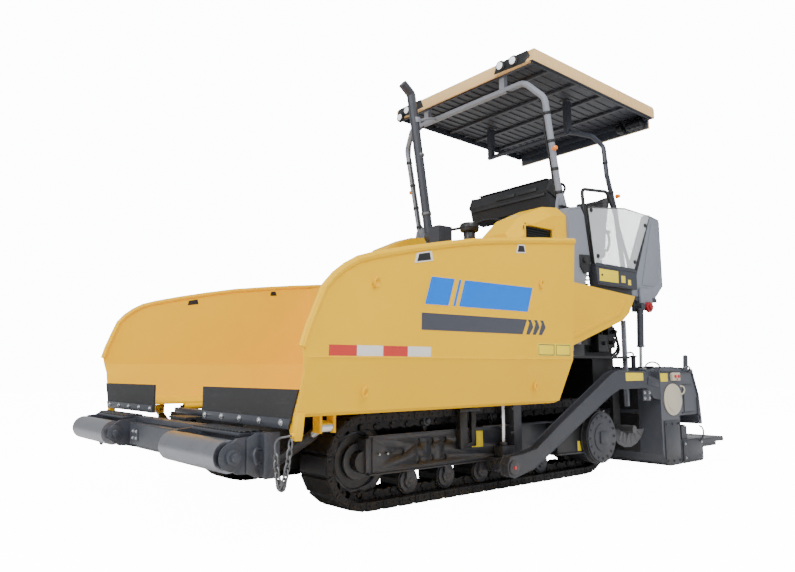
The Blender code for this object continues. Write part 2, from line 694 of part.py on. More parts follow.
def make_augers():
    shaft_start = 0.05 + SEAT_GAP
    shaft = rod((AUGER_X, shaft_start, AUGER_Z), (AUGER_X, 1.16, AUGER_Z), SHAFT_R, 20)
    shapes = [shaft]
    for start, end in ((0.09, 0.93), (1.01, 1.15)):
        shape = bmesh.new()
        inner = shape.verts.new((0.02, 0, 0))
        outer = shape.verts.new((AUGER_R, 0, 0))
        shape.edges.new((inner, outer))
        mesh = bpy.data.meshes.new("flight")
        shape.to_mesh(mesh)
        shape.free()
        flight = add(mesh)
        turns = (end - start) / AUGER_PITCH
        screw = flight.modifiers.new("screw", "SCREW")
        screw.angle = turns * 2 * math.pi
        screw.screw_offset = end - start
        screw.steps = max(6, round(turns * 14))
        screw.render_steps = screw.steps
        sheet = flight.modifiers.new("sheet", "SOLIDIFY")
        sheet.thickness = 0.012
        sheet.offset = 0.0
        settle(flight)
        flight.data.transform(Matrix.Translation((AUGER_X, start, AUGER_Z))
                              @ Matrix.Rotation(-math.pi / 2, 4, "X"))
        shape = bmesh.new()
        shape.from_mesh(flight.data)
        bmesh.ops.recalc_face_normals(shape, faces=shape.faces)
        shape.to_mesh(flight.data)
        shape.free()
        shapes.append(flight)
    pair("auger", STEEL, shapes)


def make_tow_guides():
    top = DECK_Z - SEAT_GAP
    post = block((POST_FRONT_X - 0.09, ROD_Y - 0.045, 0.20), (POST_FRONT_X, ROD_Y + 0.045, top))
    barrel = rod((ROD_X, ROD_Y, 0.70), (ROD_X, ROD_Y, top), 0.035, 20)
    bridge = block((POST_FRONT_X - 0.02, ROD_Y - 0.02, 0.90), (ROD_X, ROD_Y + 0.02, top))
    bore = rod((ROD_X, ROD_Y, 0.65), (ROD_X, ROD_Y, 0.985), ROD_R + 0.0006, 20)
    pair("tow_guide", DARK, [post, barrel, bridge], [bore])


def make_tow_points():
    carriage = block((POST_FRONT_X + SEAT_GAP, ROD_Y - 0.04, 0.14),
                     (0.40, ROD_Y + 0.05, 0.33))
    pin = rod((TOW_PIN[0], ROD_Y + 0.0, TOW_PIN[1]), (TOW_PIN[0], ARM_INNER_Y - SEAT_GAP,
                                                    TOW_PIN[1]), 0.035, 20)
    link = block((0.38, ROD_Y - 0.04, 0.15), (TOW_PIN[0] + 0.02, ROD_Y + 0.05, 0.25))
    piston = rod((ROD_X, ROD_Y, 0.32), (ROD_X, ROD_Y, 0.78), ROD_R, 20)
    pair("tow_point", STEEL, [carriage, link, pin, piston])


def make_tow_arms():
    rear = SCREED_FRONT_X + SEAT_GAP
    outline = [(0.50, 0.275), (0.535, 0.22), (0.52, 0.145), (0.46, 0.125), (0.232, 0.174),
               (-0.214, 0.395), (-0.80, 0.68), (-0.955, 0.735), (-1.38, 0.735), (-1.50, 0.64),
               (rear, 0.62), (rear, 0.80), (-1.44, 0.84), (-1.372, 0.876), (-0.934, 0.888),
               (-0.84, 0.863), (-0.089, 0.472), (0.20, 0.31), (0.38, 0.28)]
    pair("tow_arm", DARK, [plate(outline, "Y", ARM_INNER_Y, ARM_OUTER_Y)])


def make_screed():
    front = SCREED_FRONT_X
    half = SCREED_HALF_WIDTH
    sole = [(front, 0.12), (front - 0.05, 0.04), (front - 0.12, SCREED_LOW_Z),
            (SCREED_SOLE_REAR_X, SCREED_LOW_Z), (SCREED_SOLE_REAR_X, 0.47), (front, 0.60)]
    cover = [(front, 0.46), (-2.30, 0.46), (-2.34, 0.36), (-2.394, 0.36), (-2.359, 0.642),
             (-2.248, 0.901), (front - 0.02, 0.912), (front, 0.88)]
    shroud = plate(cover, "Y", -half, half)
    for side in (1, -1):
        near, far = sorted((side * (LIFT_Y - 0.05), side * (LIFT_Y + 0.055)))
        notch = shroud.modifiers.new("notch", "BOOLEAN")
        notch.operation = "DIFFERENCE"
        notch.solver = "EXACT"
        notch.object = block((front - LIFT_NOTCH, near, LIFT_NOTCH_LOW_Z), (front + 0.05, far, 0.95))
        use_as_tool(notch.object)
    settle(shroud)
    shapes = [plate(sole, "Y", -half, half), shroud]
    tube_x, tube_z = GUIDE_TUBE
    cuts = []
    for side in (1, -1):
        near, far = sorted((side * 1.09, side * 1.15))
        shapes.append(block((tube_x - 0.07, near, tube_z - 0.08), (tube_x + 0.07, far, 0.50)))
        near, far = sorted((side * LIFT_LUG_Y[0], side * LIFT_LUG_Y[1]))
        shapes.append(block((front - LIFT_NOTCH - 0.01, near, LIFT_EYE[1] - 0.16),
                            (LIFT_EYE[0] + 0.03, far, LIFT_EYE[1] + 0.0)))
        cuts.append(rod((tube_x, side * 1.0, tube_z), (tube_x, side * 1.3, tube_z),
                        GUIDE_TUBE_R + 0.0005, 20))
    piece("screed_body", DARK, shapes, cuts)


def make_extensions():
    front = SCREED_SOLE_REAR_X - EXTENSION_GAP
    tube_x, tube_z = GUIDE_TUBE
    outline = [(front, 0.05), (front - 0.03, SCREED_LOW_Z), (-2.36, SCREED_LOW_Z),
               (-2.38, 0.03), (-2.38, 0.228), (front, 0.228)]
    box = plate(outline, "Y", 0.01, SCREED_HALF_WIDTH)
    shapes = [box, rod((tube_x, 0.04, tube_z), (tube_x, 1.22, tube_z), GUIDE_TUBE_R, 20)]
    for low, high in ((0.04, 0.08), (1.17, 1.22)):
        shapes.append(block((tube_x - 0.05, low, 0.20), (tube_x + 0.05, high, tube_z + 0.03)))
    shapes.append(block((REAR_X, 0.01, 0.17), (-2.37, SCREED_HALF_WIDTH, 0.20)))
    for low in (0.10, 0.60, 1.16):
        shapes.append(block((REAR_X + 0.04, low, 0.12), (-2.37, low + 0.03, 0.18)))
    pair("screed_extension", DARK, shapes)


def make_lift_cylinders():
    pivot = Vector((LIFT_PIVOT[0], LIFT_Y, LIFT_PIVOT[1]))
    eye = Vector((LIFT_EYE[0], LIFT_Y, LIFT_EYE[1]))
    way = (eye - pivot).normalized()
    side = Vector((0, LIFT_HEAD, 0))
    head = rod(pivot - side, pivot + side, 0.035, 16)
    barrel = rod(pivot, pivot + way * 0.39, 0.032, 20)
    bore = rod(pivot + way * 0.06, pivot + way * 0.45, 0.0156, 16)
    pair("lift_cylinder", DARK, [barrel, head], [bore])
    end = rod(eye - Vector((0, 0.02, 0)), Vector((eye.x, LIFT_LUG_Y[0] - SEAT_GAP, eye.z)),
              0.03, 16)
    stem = rod(eye, eye - way * 0.34, 0.015, 16)
    pair("lift_rod", STEEL, [stem, end])


def make_wings():
    sheet = WING_SHEET
    floor = WING_FLOOR_Z
    outer = [(WING_HINGE_Y - 0.015, floor), (1.50, floor), (WING_BOTTOM_Y, floor + 0.02),
             (WING_CREASE_Y, WING_CREASE_Z), (WING_TOP_Y, WING_TOP_Z + 0.02)]
    inner = [(WING_TOP_Y - sheet, WING_TOP_Z + 0.02), (WING_CREASE_Y - sheet, WING_CREASE_Z),
             (WING_BOTTOM_Y - sheet, floor + 0.02 + sheet), (1.50 - 0.006, floor + sheet),
             (WING_HINGE_Y - 0.015, floor + sheet)]
    shell = plate(outer + inner, "X", WING_REAR_X, 2.60)
    outline = [(0.34, 0.50), (0.255, WING_CREASE_Z), (WING_REAR_X, 1.832)] + WING_TOP_LINE + [
        (WING_FRONT_X, 0.90), (WING_FRONT_X, 0.50)]
    keep = plate(outline, "Y", 0.3, 1.9)
    trimmed = shell.modifiers.new("outline", "BOOLEAN")
    trimmed.operation = "INTERSECT"
    trimmed.solver = "EXACT"
    trimmed.object = keep
    use_as_tool(keep)
    floor_cut = block((0.1, 0.3, 0.5), (WING_FLOOR_REAR_X, 1.47, 1.2))
    panel = [(WING_PANEL_INNER_Y, floor), (1.50, floor), (WING_BOTTOM_Y - 0.005, floor + 0.025),
             (WING_CREASE_Y - 0.005, WING_CREASE_Z), (WING_TOP_Y - 0.01, 1.79), (1.31, 1.79),
             (WING_PANEL_INNER_Y, 1.25)]
    panel = plate(panel, "X", WING_FLOOR_REAR_X, WING_FLOOR_REAR_X + WING_PANEL)
    knuckle = rod((HINGE_REAR_X, WING_HINGE_Y, WING_HINGE_Z),
                  (HINGE_FRONT_X, WING_HINGE_Y, WING_HINGE_Z), WING_KNUCKLE_R, 20)
    flange = block((WING_FRONT_X - 0.015, WING_HINGE_Y - 0.015, 0.605),
                   (WING_FRONT_X, 1.49, floor + 0.01))
    shapes = [shell, panel, knuckle, flange, make_lip()]
    eye_y, eye_z = CYLINDER_EYE
    for low, high in ((CYLINDER_X - CYLINDER_HALF - 0.02, CYLINDER_X - CYLINDER_HALF - 0.003),
                      (CYLINDER_X + CYLINDER_HALF + 0.003, CYLINDER_X + CYLINDER_HALF + 0.02)):
        shapes.append(block((low, eye_y - 0.035, eye_z - 0.035), (high, eye_y + 0.035,
                                                                  floor + 0.005)))
    pair("wing", YELLOW, shapes, [floor_cut])
    hem = APRON_SHEET
    front = WING_FRONT_X + SEAT_GAP
    outline = [(0.425, 0.605), (1.48, 0.605), (1.575, 0.81), (0.425, 0.81)]
    pair("apron", RUBBER, [plate(outline, "X", front, front + hem)])


def wing_y(z):
    """Where the wing's wall stands at a height above its crease."""
    share = (z - WING_CREASE_Z) / (WING_TOP_Z - WING_CREASE_Z)
    return WING_CREASE_Y + share * (WING_TOP_Y - WING_CREASE_Y) - WING_SHEET / 2


def make_lip():
    """The rolled tube along the wing's top and front edge."""
    run = [(WING_REAR_X + 0.003, wing_y(WING_TOP_Z), WING_TOP_Z)]
    for x, z in WING_TOP_LINE:
        run.append((x, wing_y(z), z))
    return tube(run, LIP_R, 2)


def make_wing_cylinders():
    pivot = Vector((CYLINDER_X, *CYLINDER_PIVOT))
    eye = Vector((CYLINDER_X, *CYLINDER_EYE))
    way = (eye - pivot).normalized()
    side = Vector((CYLINDER_HALF, 0, 0))
    barrel = rod(pivot, pivot + way * 0.56, 0.032, 20)
    head = rod(pivot - side, pivot + side, 0.038, 20)
    bore = rod(pivot + way * 0.06, pivot + way * 0.65, 0.0226, 16)
    pair("wing_cylinder", BLACK, [barrel, head], [bore])
    end = rod(eye - side, eye + side, 0.034, 20)
    stem = rod(eye, eye - way * 0.60, 0.022, 16)
    pair("wing_rod", STEEL, [stem, end])


def make_push_beam():
    shapes = [block((2.50, -BEAM_HALF_WIDTH, BEAM_LOW_Z), (2.58, BEAM_HALF_WIDTH, BEAM_TOP_Z))]
    shapes.append(rod((PUSH_PIVOT_X, 0, NOSE_LOW_Z + SEAT_GAP),
                      (PUSH_PIVOT_X, 0, NOSE_TOP_Z - SEAT_GAP), PUSH_BOSS_R - 0.01, 20))
    shapes.append(block((PUSH_PIVOT_X, -0.05, 0.38), (2.52, 0.05, 0.56)))
    roller_x = FRONT_X - PUSH_ROLLER_R
    bracket = [(2.56, 0.37), (2.70, 0.38), (roller_x + 0.045, 0.44), (roller_x + 0.045, 0.50),
               (2.70, 0.56), (2.56, 0.57)]
    for side in (1, -1):
        for low, high in ((PUSH_ROLLER_INNER_Y - 0.03, PUSH_ROLLER_INNER_Y - SEAT_GAP),
                          (PUSH_ROLLER_OUTER_Y + SEAT_GAP, PUSH_ROLLER_OUTER_Y + 0.03)):
            near, far = sorted((side * low, side * high))
            shapes.append(plate(bracket, "Y", near, far))
    nose = [(2.56, -0.50), (2.60, -0.50), (2.66, -0.42), (2.66, 0.42), (2.60, 0.50), (2.56, 0.50)]
    shapes.append(plate(nose, "Z", 0.40, 0.54))
    piece("push_beam", DARK, shapes)
    roller = rod((roller_x, PUSH_ROLLER_INNER_Y, PUSH_ROLLER_Z),
                 (roller_x, PUSH_ROLLER_OUTER_Y, PUSH_ROLLER_Z), PUSH_ROLLER_R, 48)
    pair("push_roller", DARK, [roller])


make_chassis()
make_side_rails()
make_tracks()
make_track_frames()
make_rear_wall()
make_engine()
make_hood()
make_bulkhead()
make_fenders()
make_tank()
make_platform()
make_console()
make_seats()
make_screens()
make_canopy()
make_canopy_frames()
make_exhaust()
make_auger_box()
make_augers()
make_tow_guides()
make_tow_points()
make_tow_arms()
make_screed()
make_extensions()
make_lift_cylinders()
make_wings()
make_wing_cylinders()
make_push_beam()
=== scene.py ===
import math

import bpy
from mathutils import Matrix, Vector


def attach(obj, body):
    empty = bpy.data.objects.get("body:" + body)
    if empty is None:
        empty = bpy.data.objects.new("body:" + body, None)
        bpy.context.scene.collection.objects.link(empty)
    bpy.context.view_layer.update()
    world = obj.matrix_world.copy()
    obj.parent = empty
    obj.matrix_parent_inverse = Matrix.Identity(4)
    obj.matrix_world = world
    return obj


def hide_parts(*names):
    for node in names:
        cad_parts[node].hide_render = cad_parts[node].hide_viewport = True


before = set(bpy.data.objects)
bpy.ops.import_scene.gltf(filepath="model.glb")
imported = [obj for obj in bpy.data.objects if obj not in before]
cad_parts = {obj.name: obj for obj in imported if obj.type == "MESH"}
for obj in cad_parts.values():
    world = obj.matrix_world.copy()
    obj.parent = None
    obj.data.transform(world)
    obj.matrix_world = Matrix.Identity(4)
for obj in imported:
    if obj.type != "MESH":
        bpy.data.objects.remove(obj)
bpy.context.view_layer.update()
print("frame loaded")

camera = {"place": (4.32898, 4.57062, 0.90391), "yaw": -129.8187, "pitch": 7.138, "roll": -0.3449, "lens": 30.535}


def placeCamera():
    yaw, pitch, roll = (math.radians(camera[key]) for key in ("yaw", "pitch", "roll"))
    forward = Vector((math.cos(yaw) * math.cos(pitch), math.sin(yaw) * math.cos(pitch), math.sin(pitch)))
    right = Vector((math.sin(yaw), -math.cos(yaw), 0))
    up = right.cross(forward)
    across = math.cos(roll) * right + math.sin(roll) * up
    upright = math.cos(roll) * up - math.sin(roll) * right
    seen = bpy.data.objects.new("view_camera", bpy.data.cameras.new("view_camera"))
    bpy.context.scene.collection.objects.link(seen)
    seen.data.lens = camera["lens"]
    seen.data.clip_end = 200
    turn = Matrix((across, upright, -forward)).transposed().to_4x4()
    seen.matrix_world = Matrix.Translation(camera["place"]) @ turn
    bpy.context.scene.camera = seen


placeCamera()


# materials: sums on sockets become nodes
class Wire:
    def __init__(self, paint, socket):
        self.paint = paint
        self.socket = socket

    def join(self, operation, first, second, clamp=False):
        return self.paint.node("ShaderNodeMath", {"operation": operation, "use_clamp": clamp}, (first, second))

    def __add__(self, other):
        return self.join("ADD", self, other)

    def __sub__(self, other):
        return self.join("SUBTRACT", self, other)

    def __rsub__(self, other):
        return self.join("SUBTRACT", other, self)

    def __mul__(self, other):
        return self.join("MULTIPLY", self, other)

    def __truediv__(self, other):
        return self.join("DIVIDE", self, other)

    def __pow__(self, other):
        return self.join("POWER", self, other)

    __radd__ = __add__
    __rmul__ = __mul__

    def held(self):
        return self.join("ADD", self, 0.0, clamp=True)

    def above(self, level):
        return self.join("GREATER_THAN", self, level)

    def wrapped(self, size):
        return self.join("PINGPONG", self, size)


class Paint:
    def __init__(self, name, **values):
        self.material = bpy.data.materials.new(name)
        self.material.use_nodes = True
        self.tree = self.material.node_tree
        self.surface = self.tree.nodes["Principled BSDF"]
        self.place = self.node("ShaderNodeTexCoord", {}, (), "Object")
        for key, value in values.items():
            self.set(key.replace("_", " "), value)

    def node(self, kind, settings, inputs, output=0):
        made = self.tree.nodes.new(kind)
        for key, value in settings.items():
            if key == "stops":
                for stop, (where, color) in zip(made.color_ramp.elements, value):
                    stop.position = where
                    stop.color = (*color, 1)
            else:
                setattr(made, key, value)
        pairs = inputs.items() if isinstance(inputs, dict) else enumerate(inputs)
        for key, value in pairs:
            self.feed(made.inputs[key], value)
        return Wire(self, made.outputs[output])

    def feed(self, socket, value):
        if isinstance(value, Wire):
            self.tree.links.new(value.socket, socket)
        elif isinstance(value, tuple) and len(value) == 3 and socket.type == "RGBA":
            socket.default_value = (*value, 1)
        else:
            socket.default_value = value

    def set(self, key, value):
        self.feed(self.surface.inputs[key], value)

    def noise(self, scale, detail=3.0, stretch=(1, 1, 1), rough=0.55):
        where = self.place
        if stretch != (1, 1, 1):
            where = self.node("ShaderNodeMapping", {}, {"Vector": where, "Scale": stretch})
        return self.node("ShaderNodeTexNoise", {}, {"Vector": where, "Scale": scale, "Detail": detail,
                                                    "Roughness": rough})

    def cells(self, scale, feature="F1"):
        return self.node("ShaderNodeTexVoronoi", {"feature": feature}, {"Vector": self.place, "Scale": scale})

    def axis(self, name):
        return self.node("ShaderNodeSeparateXYZ", {}, {0: self.place}, name)

    def blend(self, share, first, second):
        return self.node("ShaderNodeMix", {"data_type": "RGBA"}, {0: share, 6: first, 7: second}, 2)

    def bump(self, height, strength, distance):
        self.set("Normal", self.node("ShaderNodeBump", {}, {"Height": height, "Strength": strength,
                                                            "Distance": distance}, "Normal"))

    def made(self, color, rough, height, strength, distance):
        self.set("Base Color", color)
        self.set("Roughness", rough)
        self.bump(height, strength, distance)
        return self.material


def tinted(color, factor):
    return tuple(min(1.0, channel * factor) for channel in color)


farShift = 20.0  # keeps repeating patterns on the positive side
dustLook = {"color": (0.3, 0.25, 0.2), "from": 0.75, "most": 0.3}


def paintFinish(name, color, rough, coat=0.0, dust=1.0, metal=0.0, peel=0.05, shine=0.5):
    paint = Paint(name, Metallic=metal, Coat_Weight=coat, Coat_Roughness=0.08, Specular_IOR_Level=shine)
    patches = paint.noise(1.6, 4.0)
    grain = paint.noise(38.0, 4.0, rough=0.7)
    low = ((dustLook["from"] - paint.axis("Z")) / dustLook["from"]).held()
    settled = (low * (paint.noise(5.0, 6.0, rough=0.7) - 0.35) * (2.6 * dust * dustLook["most"])).held()
    varied = paint.blend(patches, tinted(color, 0.93), tinted(color, 1.06))
    varied = paint.blend((grain - 0.62).held() * 1.4, varied, tinted(color, 0.72))
    return paint.made(paint.blend(settled, varied, dustLook["color"]),
                      (grain * 0.14 + patches * 0.08 + settled * 0.4 + (rough - 0.11)).held(),
                      paint.noise(420.0, 2.0) + grain * 0.6, peel, 0.002)


def steelFinish(name, color, rough, stretch=(1, 30, 1), scratch=0.1):
    paint = Paint(name, Metallic=1.0)
    lines = paint.noise(60.0, 3.0, stretch)
    spots = paint.noise(9.0, 5.0)
    return paint.made(paint.blend(spots, tinted(color, 0.8), color),
                      (lines * scratch * 2 + spots * 0.12 + (rough - scratch)).held(),
                      lines, 0.08, 0.001)


def rubberFinish(name, color, rough):
    paint = Paint(name)
    speck = paint.noise(160.0, 3.0)
    scuff = paint.noise(7.0, 6.0, (1, 1, 4), 0.7)
    marks = ((scuff - 0.55) * 3).held()
    return paint.made(paint.blend(marks, color, tinted(color, 2.2)),
                      (rough - 0.1 + speck * 0.15 - marks * 0.1).held(),
                      speck + scuff * 0.5, 0.25, 0.002)


def leatherFinish(name, color):
    paint = Paint(name, Sheen_Weight=0.15, Sheen_Roughness=0.4)
    grain = paint.cells(320.0, "DISTANCE_TO_EDGE")
    creases = paint.noise(14.0, 5.0)
    return paint.made(paint.blend(creases, tinted(color, 0.8), tinted(color, 1.3)),
                      (creases * 0.2 + 0.42).held(),
                      grain * 4 + creases * 0.3, 0.35, 0.0015)


def perforatedFinish(name, color, pitch, hole):
    paint = Paint(name, Metallic=0.3)
    across, along = ((paint.axis(axis) + farShift).wrapped(pitch / 2) for axis in ("X", "Y"))
    solid = ((across * across + along * along) ** 0.5).above(hole)
    spots = paint.noise(12.0, 4.0)
    around = paint.blend(spots, tinted(color, 0.7), tinted(color, 1.2))
    # the holes are painted near black: painted shade seen through the plate's holes
    return paint.made(paint.blend(solid, (0.004, 0.004, 0.004), around),
                      (spots * 0.2 + 0.4).held(),
                      solid, 0.5, 0.004)


def lampFinish(name, color, strength):
    paint = Paint(name, Coat_Weight=0.6)
    facets = paint.cells(90.0)
    paint.set("Emission Color", color)
    paint.surface.inputs["Emission Strength"].default_value = strength
    return paint.made(paint.blend(facets, color, tinted(color, 0.6)),
                      (facets * 0.3 + 0.12).held(),
                      facets, 0.4, 0.004)


def clearFinish(name):
    paint = Paint(name, Alpha=0.66, IOR=1.46)
    haze = paint.noise(3.0, 5.0)
    smear = paint.noise(26.0, 4.0, (1, 1, 3))
    return paint.made(paint.blend(haze, (0.62, 0.66, 0.68), (0.78, 0.81, 0.82)),
                      (smear * 0.16 + 0.04).held(),
                      smear, 0.02, 0.001)


def ribbedFinish(name, color, pitch, axis):
    paint = Paint(name)
    ribShadeAndBump = (paint.axis(axis) + farShift).wrapped(pitch / 2) / (pitch / 2)
    spots = paint.noise(5.0, 4.0)
    # the rib wave darkens and lightens the colour across each rib: painted shade and highlight on the ribs; it also
    # drives the rib bump
    return paint.made(paint.blend(ribShadeAndBump * (spots * 0.5 + 0.5), tinted(color, 0.78), tinted(color, 1.06)),
                      (spots * 0.2 + 0.35).held(),
                      ribShadeAndBump, 0.55, 0.004)


# the looks, grouped by the material slot that each stands for
slots = {
    "yellow_paint": {
        "yellow": paintFinish("yellow_paint", (1.0, 0.55, 0.0), 0.42, dust=0.1, shine=0.14),
        "red": paintFinish("red_reflector", (0.62, 0.035, 0.025), 0.3, coat=0.5, dust=0),
        "signal": paintFinish("signal_red_paint", (0.36, 0.006, 0.012), 0.35, coat=0.3, dust=0),
        "orange": lampFinish("orange_lens", (1.0, 0.25, 0.02), 0.25),
        "sign": paintFinish("sign_film", (0.98, 0.74, 0.03), 0.45, dust=0, shine=0.2)},
    "dark_grey_paint": {
        "dark": paintFinish("dark_grey_paint", (0.034, 0.039, 0.052), 0.42, coat=0.15, dust=0.5),
        "ceiling": ribbedFinish("canopy_ceiling", (0.05, 0.052, 0.062), 0.09, "Y"),
        "frame": paintFinish("undercarriage_paint", (0.02, 0.021, 0.025), 0.45, coat=0.1, dust=0.4),
        "roller": steelFinish("roller_steel", (0.34, 0.35, 0.39), 0.26, (1, 14, 1), 0.08),
        # the screed body's paint is a lighter copy of the dark grey paint: painted light on the lit screed sides
        "screed": paintFinish("screed_paint_painted_light", (0.078, 0.085, 0.105), 0.4, coat=0.2, dust=0.5),
        "band": paintFinish("band_film", (0.055, 0.06, 0.08), 0.35, coat=0.3, dust=0),
        "grid": perforatedFinish("perforated_steel", (0.055, 0.058, 0.066), 0.04, 0.0115)},
    "black_paint": {
        "black": paintFinish("black_paint", (0.01, 0.011, 0.013), 0.42, coat=0.1, dust=0.4)},
    "light_grey_paint": {
        "light": paintFinish("light_grey_paint", (0.235, 0.255, 0.3), 0.4, coat=0.2),
        "white": paintFinish("white_paint", (0.8, 0.79, 0.74), 0.38, coat=0.3),
        "cream": paintFinish("cream_paint", (0.62, 0.57, 0.44), 0.4),
        "blue": paintFinish("blue_film", (0.0, 0.19, 0.85), 0.4, dust=0, shine=0.2),
        "lens": lampFinish("lamp_lens", (0.9, 0.93, 0.97), 0.9)},
    "canopy_paint": {
        "canopy": paintFinish("canopy_paint", (0.93, 0.62, 0.27), 0.38, dust=0)},
    "shoe_steel": {
        "track": paintFinish("track_steel", (0.014, 0.014, 0.017), 0.48, dust=0.25, metal=0.4, peel=0.25),
        "wornSteel": steelFinish("worn_steel", (0.2, 0.2, 0.21), 0.45, (1, 12, 1), 0.2)},
    "bright_steel": {
        "shine": steelFinish("bright_steel", (0.62, 0.63, 0.65), 0.28)},
    "chrome_rod": {
        "chrome": steelFinish("chrome_rod", (0.82, 0.83, 0.85), 0.1, (1, 1, 20), 0.04)},
    "rubber": {
        "rubber": rubberFinish("rubber", (0.02, 0.02, 0.021), 0.72),
        "hose": rubberFinish("hose_rubber", (0.01, 0.01, 0.011), 0.55)},
    "console_plastic": {
        "plastic": rubberFinish("console_plastic", (0.016, 0.017, 0.019), 0.5),
        "screen": lampFinish("screen_glass", (0.015, 0.025, 0.035), 0.1)},
    "seat_cover": {
        "seat": leatherFinish("seat_cover", (0.03, 0.03, 0.033))},
    "clear_sheet": {
        "clear": clearFinish("clear_sheet")},
}
finishes = {look: (material, slot) for slot, looks in slots.items() for look, material in looks.items()}
nodeFinishes = (("track_frame", "frame"), ("screed_body", "screed"), ("track", "track"),
                ("wing_cylinder", "black"), ("wing_rod", "chrome"), ("wing", "yellow"), ("apron", "rubber"),
                ("hopper_rear", "yellow"), ("hood", "yellow"),
                ("fender", "yellow"), ("bulkhead", "light"), ("rear_panel", "light"), ("canopy_roof", "canopy"),
                ("canopy_front", "light"), ("canopy_rear", "dark"), ("side_screen", "clear"),
                ("push_roller", "roller"), ("auger_box", "black"), ("auger", "wornSteel"),
                ("lift_rod", "chrome"), ("tow_point", "dark"), ("chassis", "black"), ("side_rail", "black"),
                ("front_cross", "black"), ("tank", "black"),
                ("engine", "black"), ("handrail", "black"), ("console", "plastic"), ("seat", "seat"),
                ("", "dark"))
for name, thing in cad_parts.items():
    look = next(look for start, look in nodeFinishes if name.startswith(start))
    for slot in thing.material_slots:
        slot.material = finishes[look][0]
print("materials made")


# modelling helpers
def pick(*things):
    bpy.ops.object.select_all(action="DESELECT")
    for thing in things:
        thing.select_set(True)
    bpy.context.view_layer.objects.active = things[0]


def apply(thing, bevel=0.0, segments=2, angle=32):
    pick(thing)
    bpy.ops.object.transform_apply(location=True, rotation=True, scale=True)
    if bevel:
        edge = thing.modifiers.new("edge", "BEVEL")
        edge.width = bevel
        edge.segments = segments
        edge.angle_limit = math.radians(30)
        bpy.ops.object.modifier_apply(modifier=edge.name)
    bpy.ops.object.shade_smooth_by_angle(angle=math.radians(angle))
    return thing


def slab(low, high, bevel=0.004, segments=2):
    bpy.ops.object.select_all(action="DESELECT")
    middle = [(a + b) / 2 for a, b in zip(low, high)]
    size = [b - a for a, b in zip(low, high)]
    bpy.ops.mesh.primitive_cube_add(size=1, location=middle, scale=size)
    return apply(bpy.context.object, min(bevel, min(size) * 0.45), segments)


def bar(start, end, radius, bevel=0.003, sides=24, tip=None):
    bpy.ops.object.select_all(action="DESELECT")
    start = Vector(start)
    way = Vector(end) - start
    turn = Vector((0, 0, 1)).rotation_difference(way).to_euler()
    bpy.ops.mesh.primitive_cone_add(vertices=sides, radius1=radius, radius2=radius if tip is None else tip,
                                    depth=way.length, location=start + way / 2, rotation=turn)
    return apply(bpy.context.object, min(bevel, way.length * 0.3, radius * 0.4))


axisPlace = {"X": lambda a, b, c: (c, a, b), "Y": lambda a, b, c: (a, c, b), "Z": lambda a, b, c: (a, b, c)}


def plate(outline, axis, low, high, bevel=0.003, segments=2):
    # an outline in the two other axes, drawn out along one axis
    bpy.ops.object.select_all(action="DESELECT")
    bpy.ops.mesh.primitive_circle_add(vertices=len(outline), radius=1, fill_type="NGON")
    thing = bpy.context.object
    for corner, (across, up) in zip(thing.data.vertices, outline):
        corner.co = axisPlace[axis](across, up, low)
    bpy.ops.object.mode_set(mode="EDIT")
    bpy.ops.mesh.select_all(action="SELECT")
    drawn = axisPlace[axis](0, 0, high - low)
    bpy.ops.mesh.extrude_region_move(TRANSFORM_OT_translate={"value": drawn})
    bpy.ops.mesh.select_all(action="SELECT")
    bpy.ops.mesh.normals_make_consistent(inside=False)
    bpy.ops.object.mode_set(mode="OBJECT")
    return apply(thing, min(bevel, abs(high - low) * 0.45), segments)


def run(points, radius, sides=3, smooth=True):
    # a hose, rail or cable through the points
    bpy.ops.object.select_all(action="DESELECT")
    line = bpy.data.curves.new("run", "CURVE")
    line.dimensions = "3D"
    line.bevel_depth = radius
    line.bevel_resolution = sides
    line.use_fill_caps = True
    spline = line.splines.new("BEZIER" if smooth else "POLY")
    if smooth:
        line.resolution_u = 8
        spline.bezier_points.add(len(points) - 1)
        for point, place in zip(spline.bezier_points, points):
            point.co = place
            point.handle_left_type = point.handle_right_type = "AUTO"
    else:
        spline.points.add(len(points) - 1)
        for point, place in zip(spline.points, points):
            point.co = (*place, 1)
    thing = bpy.data.objects.new("run", line)
    bpy.context.scene.collection.objects.link(thing)
    pick(thing)
    bpy.ops.object.convert(target="MESH")
    return apply(bpy.context.object, angle=50)


def gather(*things):
    pick(*things)
    if len(things) > 1:
        bpy.ops.object.join()
    return bpy.context.object


def moved(thing, move):
    twin = thing.copy()
    twin.data = thing.data.copy()
    bpy.context.scene.collection.objects.link(twin)
    twin.data.transform(move if isinstance(move, Matrix) else Matrix.Translation(move))
    return twin


def copies(thing, moves):
    # copies of the thing at all the places, as one mesh
    made = [moved(thing, move) for move in moves]
    bpy.data.objects.remove(thing, do_unlink=True)
    return gather(*made)


def flipped(thing):
    twin = moved(thing, Matrix.Diagonal((1, -1, 1, 1)))
    twin.data.flip_normals()
    return twin


def both(*things):
    # the left side's things and their mirror images, as one mesh
    left = gather(*things)
    return gather(left, flipped(left))


def finish(name, look, body, *things):
    thing = gather(*things)
    thing.name = name
    thing.data.name = name
    thing.data.materials.clear()
    thing.data.materials.append(finishes[look][0])
    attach(thing, body)
    return thing


def finishPair(name, look, body, *things, own=False):
    # own: each side rides on its own body
    left = gather(*things)
    right = flipped(left)
    return [finish(name + end, look, body + end if own else body, thing)
            for end, thing in (("_left", left), ("_right", right))]


def cutBy(thing, tool):
    pick(thing)
    cut = thing.modifiers.new("cut", "BOOLEAN")
    cut.operation = "DIFFERENCE"
    cut.solver = "EXACT"
    cut.object = tool
    bpy.ops.object.modifier_apply(modifier=cut.name)
    bpy.data.objects.remove(tool, do_unlink=True)


def slabs(*rows):
    # a row: low corner, high corner, bevel
    return [slab(line[:3], line[3:6], *line[6:]) for line in rows]


